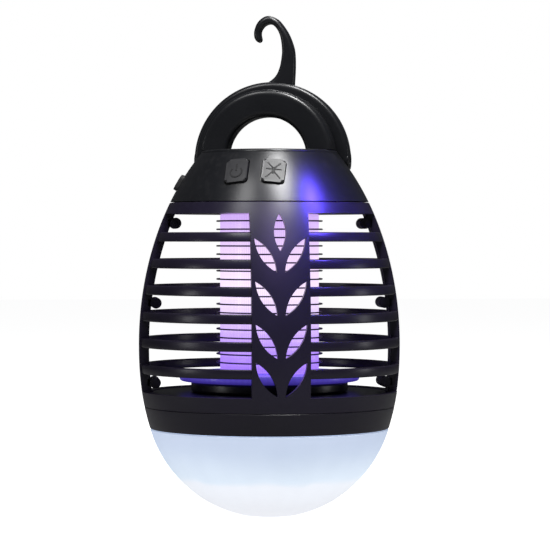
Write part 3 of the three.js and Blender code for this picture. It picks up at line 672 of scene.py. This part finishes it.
globeShape = {
    "flat": 8 * mm, "wall": 2 * mm, "neck": 38.4 * mm, "neckWall": 1.8 * mm, "steps": 40,
    "flatEdge": 1.2 * mm, "flatRise": 0.35 * mm, "rimEdge": 0.3 * mm,
}


def makeGlobe():
    top = globeSeam - seam
    rim = egg["seamRadius"]
    flat = globeShape["flat"]
    centre = (rim**2 + top**2 - flat**2) / (2 * top)
    radius = math.hypot(flat, centre)

    def arc(size, fromZ, toZ):
        first = math.asin((fromZ - centre) / size)
        last = math.asin((toZ - centre) / size)
        turns = [first + (last - first) * i / globeShape["steps"] for i in range(globeShape["steps"] + 1)]
        return [(size * math.cos(t), centre + size * math.sin(t)) for t in turns]

    inside = radius - globeShape["wall"]
    neck = globeShape["neck"]
    neckInner = neck - globeShape["neckWall"]
    neckTop = highZ("lantern_globe")
    edge = globeShape["rimEdge"]
    outer = [(0, 0), (flat - globeShape["flatEdge"], 0)] + arc(radius, globeShape["flatRise"], top - 0.5 * mm)
    rimCorner = [(rim - edge / 6, top - edge * 2 / 3), (rim - edge, top)]
    neckPoints = [(neck, top), (neck, neckTop), (neckInner, neckTop)]
    inner = arc(inside, centre - math.sqrt(inside**2 - neckInner**2), centre - math.sqrt(inside**2 - flat**2))
    profile = outer + rimCorner + neckPoints + inner + [(0, inner[-1][1])]
    globe = smooth(lathe("globeShell", profile, 192))
    # The globe's finish glows with painted light, brighter at the bottom and dimmer at the top.
    dress(globe, "globeMilk", "lantern_globe", slotName="globe")


ringShape = {
    "inner": 38.7 * mm, "reach": 32.4 * mm, "flange": 1.45 * mm, "edge": 0.12 * mm,
    "close": 0.11 * mm,  # how far the top edge stands into the seam under the cage
}


def makeRing():
    low, high = lowZ("base_ring"), highZ("base_ring") + ringShape["close"]
    edge, inner, reach = ringShape["edge"], ringShape["inner"], ringShape["reach"]
    under = high - ringShape["flange"]
    profile = [(inner, low), (eggRadius(low) - edge, low)] + eggPoints(low + edge, high - edge, 0, 12)
    profile += [(eggRadius(high) - edge, high), (reach, high), (reach, under), (inner, under)]
    ring = smooth(lathe("seamRing", profile, 192, closed=True), 50)
    dress(ring, "cageBlack", "base_ring")


coreFloor = {"discRadius": 31 * mm, "discEdge": 0.9 * mm, "plinthRadius": 27 * mm, "plinthEdge": 0.6 * mm}


def roundedDisc(name, radius, low, high, edge, steps=160):
    corners = filleted([(0, low, 0), (radius, low), (radius, high), (0, high, 0)], edge * 1.3, 6)
    return smooth(lathe(name, corners, steps))


def makeCoreFloor():
    disc = roundedDisc("glowPlate", coreFloor["discRadius"], *levels("glow_disc"), coreFloor["discEdge"])
    dress(disc, "discGlow", "glow_disc", slotName="disc")
    plinthLevels = levels("core_pedestal")
    pedestal = roundedDisc("plinth", coreFloor["plinthRadius"], *plinthLevels, coreFloor["plinthEdge"])
    dress(pedestal, "shellBlack", "core_pedestal")


tubeShape = {"radius": 17.0 * mm, "wall": 1.3 * mm, "edge": 0.4 * mm}


def makeTube():
    low, high = levels("uv_light_tube")
    radius, inner = tubeShape["radius"], tubeShape["radius"] - tubeShape["wall"]
    corners = [(radius, low), (radius, high), (inner, high), (inner, low)]
    tube = smooth(lathe("lightTube", filleted(corners, tubeShape["edge"], 3), 128, closed=True))
    dress(tube, "tubeGlow", "uv_light_tube", slotName="tube")


makeGlobe()
makeRing()
makeCoreFloor()
makeTube()
print("stage: globe, ring, disc and tube")


cage = {
    "wall": 3.2 * mm,
    "panelHalf": 9.7 * mm,
    "ribHalf": 3.4 * mm,
    "window": 60.9 * mm,
    "sill": 5.2 * mm,
    "slats": 6,
    "slatThickness": 2.3 * mm,
    "slatEdge": 0.45 * mm,
    "slatEmbed": 0.5 * mm,
    "bossInset": 4.8 * mm,
    "bossRadius": 1.9 * mm,
    "bossLength": 5.5 * mm,
    "bossDrop": 3.2 * mm,
    "bossSpacing": 27.25 * mm,
    "webReach": 2.6 * mm,
    "webHalf": 1.2 * mm,
    "edge": 0.15 * mm,
    "close": 0.11 * mm,  # how far the bottom edge stands into the seam over the base ring
    "cutters": (20 * mm, 60 * mm),  # the leaf cutters' depths, out from the axis
}
cageSeam = lowZ("cage_front") - seam
windowZ = cageSeam + cage["sill"]
lintelZ = windowZ + cage["window"]
slatPitch = (cage["window"] + cage["slatThickness"]) / (cage["slats"] + 1)

leaf = {
    "width": 3.6 * mm,
    "topWidth": 4.0 * mm,
    "topLength": 12.6 * mm,
    "topDrop": 0.1 * mm,
    "rise": 11.3 * mm,
    "outer": 8.5 * mm,
    "inner": 1.3 * mm,
    "drops": (8.3 * mm, 22.5 * mm, 36.6 * mm, 49.1 * mm),
    "steps": 14,
}


def leafOutline(start, end, width):
    start, end = Vector(start), Vector(end)
    along = end - start
    side = Vector((-along.y, along.x)).normalized() * width
    middle = (start + end) / 2
    points = []
    for sign in (1, -1):
        first, last = (start, end) if sign > 0 else (end, start)
        for i in range(leaf["steps"]):
            points.append(tuple(bow(first, middle + side * sign, last, i / leaf["steps"])))
    return points


def leafOutlines():
    top = lintelZ - leaf["topDrop"]
    outlines = [leafOutline((0, top), (0, top - leaf["topLength"]), leaf["topWidth"])]
    for drop in leaf["drops"]:
        high = lintelZ - drop
        for side in (-1, 1):
            ends = ((side * leaf["outer"], high), (side * leaf["inner"], high - leaf["rise"]))
            outlines.append(leafOutline(*ends, leaf["width"]))
    return outlines


# Maps a flat outline's x and y to X and Z, and its depth to -Y.
upright = Matrix(((1, 0, 0, 0), (0, 0, -1, 0), (0, 1, 0, 0), (0, 0, 0, 1)))


def cageShell(name):
    low, high = lowZ("cage_front") - cage["close"], highZ("cage_front")
    edge = cage["edge"]
    outer = eggPoints(low + edge, high - edge, 0, 40)
    inner = [(eggRadius(z) - cage["wall"], z) for _, z in reversed(eggPoints(low, high, 0, 40))]
    profile = [(eggRadius(low) - edge, low)] + outer + [(eggRadius(high) - edge, high)] + inner
    shell = lathe(name, profile, 192, closed=True)
    booleaned(shell, boxPiece("half", (-far, -seam, 0), (far, far, far * 3)))
    windows = []
    for side in (-1, 1):
        near, reach = sorted((side * cage["panelHalf"], side * far))
        windows.append(boxPiece("window", (near, -far, windowZ), (reach, -cage["ribHalf"], lintelZ)))
    booleaned(shell, combined("windows", windows))
    leaves = [slab("leaf", outline, upright, *cage["cutters"]) for outline in leafOutlines()]
    booleaned(shell, combined("leaves", leaves))
    posts = []
    for i in range(3):
        z = lintelZ - cage["bossDrop"] - i * cage["bossSpacing"]
        for side in (-1, 1):
            x = side * (eggRadius(z) - cage["bossInset"])
            posts.append(rodPiece("boss", (x, -seam, z), (x, -cage["bossLength"], z), cage["bossRadius"], 40))
            near, reach = sorted((x, x + side * cage["webReach"]))
            low, high = z - cage["webHalf"], z + cage["webHalf"]
            posts.append(boxPiece("web", (near, -cage["ribHalf"], low), (reach, -seam, high)))
    for post in posts:
        booleaned(shell, post, "UNION")
    return shell


def bevelled(piece, width, segments=4, degrees=35):
    step = piece.modifiers.new("edges", "BEVEL")
    step.width = width
    step.segments = segments
    step.limit_method = "ANGLE"
    step.angle_limit = math.radians(degrees)
    return applied(piece)


# The same egg in nodes: above its widest level the crown term shapes it, and below it the bowl term.
def eggRadiusNodes(tree, given, z):
    above = calc(tree, "SUBTRACT", z, given["Widest Level"])
    up = calc(tree, "MAXIMUM", calc(tree, "DIVIDE", above, given["Crown Reach"]), 0.0)
    below = times(tree, above, -1.0)
    down = calc(tree, "MAXIMUM", calc(tree, "DIVIDE", below, given["Bowl Reach"]), 0.0)
    crown = calc(tree, "SUBTRACT", 1.0, calc(tree, "POWER", up, 2.0))
    crown = calc(tree, "POWER", crown, calc(tree, "DIVIDE", 1.0, given["Crown Power"]))
    bowl = calc(tree, "SUBTRACT", 1.0, calc(tree, "POWER", down, given["Bowl Power"]))
    shape = times(tree, crown, calc(tree, "SQRT", bowl))
    return times(tree, shape, given["Body Radius"])


# Straight rounded bars, one per level, are bent onto the egg between the panel's edge and the side rib.
def slatTree():
    sizes = (
        "First Level", "Pitch", "Thickness", "Depth", "Edge", "Panel Half", "Rib Half", "Body Radius",
        "Widest Level", "Crown Reach", "Bowl Reach", "Crown Power", "Bowl Power", "Turn",
    )
    tree, given, out = nodeTree("slats", sizes)
    run = flow(tree, "GeometryNodeCurvePrimitiveLine", {"End": (1.0, 0.0, 0.0)})
    run = flow(tree, "GeometryNodeResampleCurve", {"Curve": run, "Count": 40})
    sides = {"Width": given["Thickness"], "Height": given["Depth"]}
    section = flow(tree, "GeometryNodeCurvePrimitiveQuadrilateral", sides)
    corners = {"Curve": section, "Radius": given["Edge"], "Count": 3, "Limit Radius": True}
    section = flow(tree, "GeometryNodeFilletCurve", corners, mode="POLY")
    sockets = {"Curve": run, "Profile Curve": section, "Fill Caps": True}
    copies = stacked(tree, given, flow(tree, "GeometryNodeCurveToMesh", sockets))
    real = flow(tree, "GeometryNodeRealizeInstances", {0: copies})
    at = place(tree, "ShaderNodeSeparateXYZ", {0: flow(tree, "GeometryNodeInputPosition")}).outputs
    radius = eggRadiusNodes(tree, given, at["Z"])
    first = calc(tree, "ARCSINE", calc(tree, "DIVIDE", given["Panel Half"], radius))
    last = calc(tree, "ARCCOSINE", calc(tree, "DIVIDE", given["Rib Half"], radius))
    sweep = times(tree, at["X"], calc(tree, "SUBTRACT", last, first))
    angle = calc(tree, "ADD", first, sweep)
    inset = calc(tree, "SUBTRACT", at["Y"], times(tree, given["Depth"], 0.5))
    reach = calc(tree, "ADD", radius, inset)
    ahead = times(tree, reach, calc(tree, "COSINE", angle))
    bent = flow(tree, "ShaderNodeCombineXYZ", {
        "X": times(tree, reach, calc(tree, "SINE", angle)),
        "Y": times(tree, ahead, -1.0),
        "Z": at["Z"],
    })
    moved = flow(tree, "GeometryNodeSetPosition", {"Geometry": real, "Position": bent})
    mirror = flow(tree, "GeometryNodeTransform", {"Geometry": moved, "Scale": (-1.0, 1.0, 1.0)})
    flipped = flow(tree, "GeometryNodeFlipFaces", {0: mirror})
    both = tree.nodes.new("GeometryNodeJoinGeometry")
    tree.links.new(moved, both.inputs[0])
    tree.links.new(flipped, both.inputs[0])
    spin = flow(tree, "ShaderNodeCombineXYZ", {"Z": given["Turn"]})
    turned = flow(tree, "GeometryNodeTransform", {"Geometry": both.outputs[0], "Rotation": spin})
    return ended(tree, turned, given, out)


def makeSlats(name, tree, turn):
    embed = cage["slatEmbed"]
    values = {
        "First Level": windowZ + slatPitch - cage["slatThickness"] / 2, "Pitch": slatPitch,
        "Thickness": cage["slatThickness"], "Depth": cage["wall"], "Edge": cage["slatEdge"],
        "Panel Half": cage["panelHalf"] - embed, "Rib Half": cage["ribHalf"] - embed,
        "Body Radius": egg["radius"], "Widest Level": widestZ, "Crown Reach": crownReach,
        "Bowl Reach": bowlReach, "Crown Power": egg["crownPower"], "Bowl Power": egg["bowlPower"],
        "Turn": turn, "Count": cage["slats"], "Material": finishes["slatBlack"],
    }
    slats = smooth(outwards(grown(name, tree, values)))
    dress(slats, "slatBlack")


def outwards(piece):
    bm = bmesh.new()
    bm.from_mesh(piece.data)
    bmesh.ops.remove_doubles(bm, verts=bm.verts, dist=1e-7)
    bmesh.ops.recalc_face_normals(bm, faces=bm.faces)
    bm.to_mesh(piece.data)
    bm.free()
    return piece


def makeCage():
    tree = slatTree()
    front = cageShell("frontHalf")
    rear = linked("rearHalf", front.data.copy())
    rear.data.transform(Matrix.Rotation(math.pi, 4, "Z"))
    for half, node in ((front, "cage_front"), (rear, "cage_rear")):
        smooth(half, 30)
        dress(half, "cageBlack", node)
    makeSlats("frontSlats", tree, 0.0)
    makeSlats("rearSlats", tree, math.pi)


makeCage()
print("stage: cage")


grid = {"radius": 18.1 * mm, "wire": 0.27 * mm, "pitch": 5.7 * mm, "endGap": 3.35 * mm, "topGap": 1.2 * mm}


# Rings of wire, one per level.
def gridTree():
    tree, given, out = nodeTree("gridRings", ("Radius", "Wire", "First Level", "Pitch"))
    ring = flow(tree, "GeometryNodeCurvePrimitiveCircle", {"Resolution": 96, "Radius": given["Radius"]})
    section = flow(tree, "GeometryNodeCurvePrimitiveCircle", {"Resolution": 8, "Radius": given["Wire"]})
    hoop = flow(tree, "GeometryNodeCurveToMesh", {"Curve": ring, "Profile Curve": section})
    copies = stacked(tree, given, hoop)
    return ended(tree, flow(tree, "GeometryNodeSetShadeSmooth", {"Geometry": copies}), given, out)


def makeGrid():
    tree = gridTree()
    low, high = lowZ("uv_light_tube") + grid["endGap"], highZ("uv_light_tube") - grid["topGap"]
    sets = (("liveRings", "live_grid_wire", 0), ("returnRings", "return_grid_wire", grid["pitch"] / 2))
    for name, node, shift in sets:
        values = {
            "Radius": grid["radius"], "Wire": grid["wire"], "First Level": low + shift,
            "Pitch": grid["pitch"], "Count": int((high - low - shift) / grid["pitch"]) + 1,
            "Material": finishes["gridWire"],
        }
        rings = outwards(grown(name, tree, values))
        rings.data.shade_smooth()
        dress(rings, "gridWire", node, slotName="wire")


makeGrid()
print("stage: grid")


housing = {
    "wall": 2.4 * mm, "plate": 2.2 * mm, "edge": 1.0 * mm, "innerEdge": 0.5 * mm, "gap": 0.3 * mm,
    "buttonTurn": 12.5, "buttonToe": 7, "buttonLevel": 10 * mm, "buttonProud": 0.7 * mm,
    "buttonDeep": 3.6 * mm, "buttonEdge": 0.8 * mm, "coverTurn": -84, "coverLevel": 6.6 * mm,
    "coverProud": 0.8 * mm, "coverSeat": 0.7 * mm, "coverEdge": 0.4 * mm,
    "cutDeep": 4.5 * mm, "slotDeep": 9 * mm, "cutProud": 3 * mm,
    # Width, height and corner of each outline on the wall.
    "button": (7.65 * mm, 9.3 * mm, 1.1 * mm), "cover": (12 * mm, 5.8 * mm, 1.2 * mm),
    "slot": (8.1 * mm, 3.5 * mm, 0.8 * mm),
}
arch = {
    "radius": 23.2 * mm, "thickness": 9.4 * mm, "front": -8 * mm, "back": 2.3 * mm, "sink": 2.4 * mm,
    "edge": 2.2 * mm, "footGap": 0.12 * mm,
}
bail = {
    "radius": 27.25 * mm, "thickness": 5.85 * mm, "front": 2.9 * mm, "back": 9.9 * mm, "edge": 1.9 * mm,
    "pin": 1.8 * mm, "eyeEdge": 0.8 * mm, "hookHalf": 2.7 * mm, "hookEdge": 1.3 * mm,
    "hookShift": -0.9 * mm, "hookSink": 0.3 * mm,
}
# The notches in the rear shoulders that the bail's legs turn in.
notch = {
    "gap": 0.5 * mm, "run": 9 * mm, "ring": 4.2 * mm, "wall": 1.6 * mm, "ease": 0.2 * mm, "lap": 0.4 * mm,
}
housingSeam = lowZ("top_housing") - seam
bailInner = bail["radius"] - bail["thickness"]
pivotY, pivotZ = pivotLocal.y, pivotLocal.z


def buttonFrame(side):
    frameMatrix = slopeFrame(side * housing["buttonTurn"], housingSeam + housing["buttonLevel"])
    return frameMatrix @ Matrix.Rotation(math.radians(-side * housing["buttonToe"]), 4, "Z")


buttonFrames = {"power": buttonFrame(-1), "zapper": buttonFrame(1)}
coverFrame = slopeFrame(housing["coverTurn"], housingSeam + housing["coverLevel"])


def notchBoxes(grow, side):
    floor = pivotZ - (bail["back"] - bail["front"]) / 2 - notch["gap"] - grow
    front = bail["front"] - notch["gap"] + notch["ease"] - grow
    behind = bail["back"] + notch["gap"]
    legWall = bailInner - notch["gap"] - grow
    ringWall = bailInner - notch["ring"] - grow
    ceiling = topZ + 5 * mm
    legX = sorted((side * legWall, side * egg["radius"]))
    ringX = sorted((side * ringWall, side * egg["radius"]))
    leg = boxPiece("leg", (legX[0], front, floor), (legX[1], behind + grow, ceiling))
    back = behind + notch["run"] + grow
    ring = boxPiece("ring", (ringX[0], behind - notch["lap"] - grow, floor), (ringX[1], back, ceiling))
    return booleaned(leg, ring, "UNION")


def housingProfile(inset, roof, edge, steps=6):
    points = eggPoints(lowZ("top_housing"), roof - edge, inset, 30)
    lip = points[-1][0]
    for i in range(1, steps + 1):
        turn = math.pi / 2 * i / steps
        points.append((lip - edge * (1 - math.cos(turn)), roof - edge + edge * math.sin(turn)))
    return points + [(0, roof)]


def makeHousing():
    outer = housingProfile(0, topZ, housing["edge"])
    inner = housingProfile(housing["wall"], topZ - housing["plate"], housing["innerEdge"])
    shell = lathe("housingShell", outer + list(reversed(inner)) + [outer[0]], 192)
    pocketWalls = []
    for side in (-1, 1):
        core = lathe("core", [(0, lowZ("top_housing"))] + outer, 192)
        pocketWalls.append(booleaned(notchBoxes(notch["wall"], side), core, "INTERSECT"))
    for wall in pocketWalls:
        booleaned(shell, wall, "UNION")
    for side in (-1, 1):
        booleaned(shell, notchBoxes(0, side))
    gap, proud = housing["gap"], housing["cutProud"]
    width, height, corner = housing["button"]
    hole = rectangleOutline(width + 2 * gap, height + 2 * gap, corner + gap)
    for frameMatrix in buttonFrames.values():
        booleaned(shell, slab("hole", hole, frameMatrix, -housing["cutDeep"], proud))
    width, height, corner = housing["cover"]
    seat = rectangleOutline(width + 2 * gap, height + 2 * gap, corner)
    booleaned(shell, slab("seat", seat, coverFrame, -housing["coverSeat"] - gap, proud))
    slot = rectangleOutline(*housing["slot"])
    booleaned(shell, slab("slot", slot, coverFrame, -housing["slotDeep"], proud))
    dress(onTop(smooth(shell, 28)), "shellBlack", "top_housing")


makeHousing()
print("stage: housing")


# Part of a ring, between two turns in degrees from straight up.
def ringOutline(radius, width, first, last, steps=28):
    turns = [math.radians(first + (last - first) * i / steps) for i in range(steps + 1)]
    points = []
    for reach, order in ((radius + width / 2, turns), (radius - width / 2, turns[::-1])):
        points += [(reach * math.sin(turn), reach * math.cos(turn)) for turn in order]
    return points


def strokeOutline(start, end, width):
    start, end = Vector(start), Vector(end)
    along = (end - start).normalized() * width / 2
    side = Vector((-along.y, along.x))
    corners = (start - along + side, start - along - side, end + along - side, end + along + side)
    return [tuple(corner) for corner in corners]


def ovalOutline(centre, halfWidth, halfHeight, steps=20):
    turns = [2 * math.pi * i / steps for i in range(steps)]
    return [(centre[0] + halfWidth * math.cos(t), centre[1] + halfHeight * math.sin(t)) for t in turns]


icon = {
    "line": 0.5 * mm, "rise": 0.16 * mm, "sink": 0.1 * mm, "ring": 2.0 * mm, "ringDrop": 0.7 * mm,
    "gap": (48, 312), "stroke": (0, 2.2 * mm),  # the ring's ends in degrees, and the stroke's ends
    "legLine": 0.4 * mm, "body": (0.6 * mm, 1.3 * mm),
    # Each leg runs from the body to its foot, on the right side.
    "legs": (((0.5, -0.9), (2.3, -3.0)), ((0.4, 0.4), (2.4, 0.4)), ((0.4, 1.0), (2.0, 2.8))),
}


def powerOutlines():
    low = -icon["ringDrop"]
    arc = [(x, y + low) for x, y in ringOutline(icon["ring"], icon["line"], *icon["gap"])]
    foot, top = icon["stroke"]
    return [arc, strokeOutline((0, foot), (0, top), icon["line"])]


def insectOutlines():
    outlines = [ovalOutline((0, -0.1 * mm), *icon["body"])]
    for side in (-1, 1):
        for leg in icon["legs"]:
            root, foot = ((side * x * mm, y * mm) for x, y in leg)
            outlines.append(strokeOutline(root, foot, icon["legLine"]))
    return outlines


def makeButtons():
    icons = {"power": powerOutlines(), "zapper": insectOutlines()}
    outline = rectangleOutline(*housing["button"], 8)
    deep, proud, edge = housing["buttonDeep"], housing["buttonProud"], housing["buttonEdge"]
    for name, matrix in buttonFrames.items():
        cap = smooth(slab(name + "Cap", outline, matrix, -deep, proud, edge, 5))
        rides = {"body": name + "_button", "slotName": "button"}
        dress(onTop(cap), "buttonBlack", name + "_button", **rides)
        marks = []
        for shape in icons[name]:
            marks.append(slab("mark", shape, matrix, proud - icon["sink"], proud + icon["rise"]))
        mark = combined(name + "Icon", marks)
        # The marks carry the darker colour that paints their shading lines.
        dress(onTop(mark), "iconPaint", **rides)


def makeCover():
    outline = rectangleOutline(*housing["cover"])
    low, high = -housing["coverSeat"], housing["coverProud"]
    cover = slab("socketCover", outline, coverFrame, low, high, housing["coverEdge"], 3)
    dress(onTop(smooth(cover)), "rubberBlack", "usb_cover", body="usb_cover", slotName="rubber")


# A bar with rounded edges that runs up one leg, over a half circle and down the other leg.
def sweptArch(name, radius, thickness, front, back, centreZ, footZ, edge, steps=96):
    corners = [(0, front), (0, back), (-thickness, back), (-thickness, front)]
    section = [(radius + step, y) for step, y in filleted(corners, edge, 8)]
    bm = bmesh.new()

    def legEnd(side):
        return [bm.verts.new((side * reach, y, footZ)) for reach, y in section]

    loops = [legEnd(1)]
    for turn in (math.pi * i / steps for i in range(steps + 1)):
        across, up = math.cos(turn), math.sin(turn)
        loops.append([bm.verts.new((reach * across, y, centreZ + reach * up)) for reach, y in section])
    loops.append(legEnd(-1))
    count = len(section)
    for near, away in zip(loops, loops[1:]):
        for i in range(count):
            j = (i + 1) % count
            bm.faces.new((near[i], near[j], away[j], away[i]))
    bm.faces.new(loops[0])
    bm.faces.new(loops[-1])
    return fromBmesh(name, bm)


def makeArch():
    centreZ = topZ - arch["sink"]
    size = (arch["radius"], arch["thickness"], arch["front"], arch["back"])
    made = sweptArch("carryArch", *size, centreZ, centreZ - 4 * mm, arch["edge"])
    foot = topZ + arch["footGap"]
    booleaned(made, boxPiece("below", (-far, -far, 0), (far, far, foot)))
    corners = [(0, foot - mm), (arch["radius"], foot - mm), (arch["radius"], far * 3), (0, far * 3)]
    booleaned(made, lathe("column", corners, 256), "INTERSECT")
    dress(onTop(smooth(made, 30)), "shellBlack", "carry_arch")


# The hook's outline in mm, from its root up round the crook and back: x, then the height.
hookPath = (
    (8.4, -3.2), (8.6, -0.4), (8.9, 5.6), (8.7, 10.8), (7.8, 14.2), (6.5, 17.2), (4.6, 20.1), (2.6, 22.2),
    (0, 23.2), (-2.2, 22.7), (-4.2, 20.9), (-5.3, 18.2), (-5.3, 15.9), (-4.6, 14.6), (-3.7, 14.1),
    (-2.8, 14.9), (-3.1, 17.0), (-2.7, 18.6), (-1.5, 19.9), (0.1, 20.4), (1.6, 19.8), (3.1, 17.9),
    (4.0, 15.2), (4.4, 11.8), (4.3, 9.2), (3.6, 5.4), (2.2, 2.4), (-0.2, 0.4), (-3.2, -0.6), (-3.2, -3.2),
)


# A smooth line through all the points.
def splined(points, steps=5):
    made = []
    last = len(points) - 1
    for i in range(last):
        a, b, c, d = (Vector(points[max(0, min(last, k))]) for k in (i - 1, i, i + 1, i + 2))
        for step in range(steps):
            t = step / steps
            square, cube = 2 * a - 5 * b + 4 * c - d, 3 * b - a - 3 * c + d
            made.append(0.5 * (2 * b + (c - a) * t + square * t * t + cube * t**3))
    return made + [Vector(points[-1])]


def makeHookPart(crownZ):
    curve = bpy.data.curves.new("hookCurve", "CURVE")
    curve.dimensions = "2D"
    curve.fill_mode = "BOTH"
    line = curve.splines.new("POLY")
    points = splined(hookPath)
    line.points.add(len(points) - 1)
    for corner, at in zip(line.points, points):
        corner.co = (at.x * mm, at.y * mm, 0, 1)
    line.use_cyclic_u = True
    edge = bail["hookEdge"]
    curve.offset = -edge
    curve.bevel_depth = edge
    curve.bevel_resolution = 3
    curve.extrude = bail["hookHalf"] - edge
    holder = linked("hookCurve", curve)
    hook = outwards(linked("hookPart", meshOf(holder)))
    bpy.data.objects.remove(holder)
    bpy.data.curves.remove(curve)
    rootAt = (bail["hookShift"], pivotY, crownZ - bail["hookSink"])
    hook.data.transform(Matrix.Translation(rootAt) @ upright)
    return hook


def makeBail():
    size = (bail["radius"], bail["thickness"], bail["front"], bail["back"])
    made = sweptArch("hookBail", *size, pivotZ, pivotZ - 0.5 * mm, bail["edge"])
    booleaned(made, makeHookPart(pivotZ + bail["radius"]), "UNION")
    half = (bail["back"] - bail["front"]) / 2
    for side in (-1, 1):
        ends = ((side * bailInner, pivotY, pivotZ), (side * bail["radius"], pivotY, pivotZ))
        booleaned(made, bevelled(rodPiece("eye", *ends, half, 64), bail["eyeEdge"]), "UNION")
        ends = ((side * (bailInner - mm), pivotY, pivotZ), (side * (bail["radius"] + mm), pivotY, pivotZ))
        booleaned(made, rodPiece("pinHole", *ends, bail["pin"], 48))
    dress(onTop(smooth(made, 30)), "shellBlack", "hook_bail", body="hook_bail")


makeButtons()
makeCover()
makeArch()
makeBail()
print("stage: buttons, cover, arch and bail")


slotFinish = {
    "shell": "shellBlack", "button": "buttonBlack", "rubber": "rubberBlack", "globe": "globeMilk",
    "tube": "tubeGlow", "disc": "discGlow", "wire": "gridWire", "steel": "platedSteel", "board": "boardGreen",
    "cell": "cellBlue", "potting": "pottingBlack",
}


def finishNodes():
    for part in frame["record"]["subparts"]:
        mesh = frame["nodes"][part["node"]].data
        mesh.materials.clear()
        mesh.materials.append(finishes[slotFinish[part["material_slot"]]])


finishNodes()
linkLights()
print("stage: done")
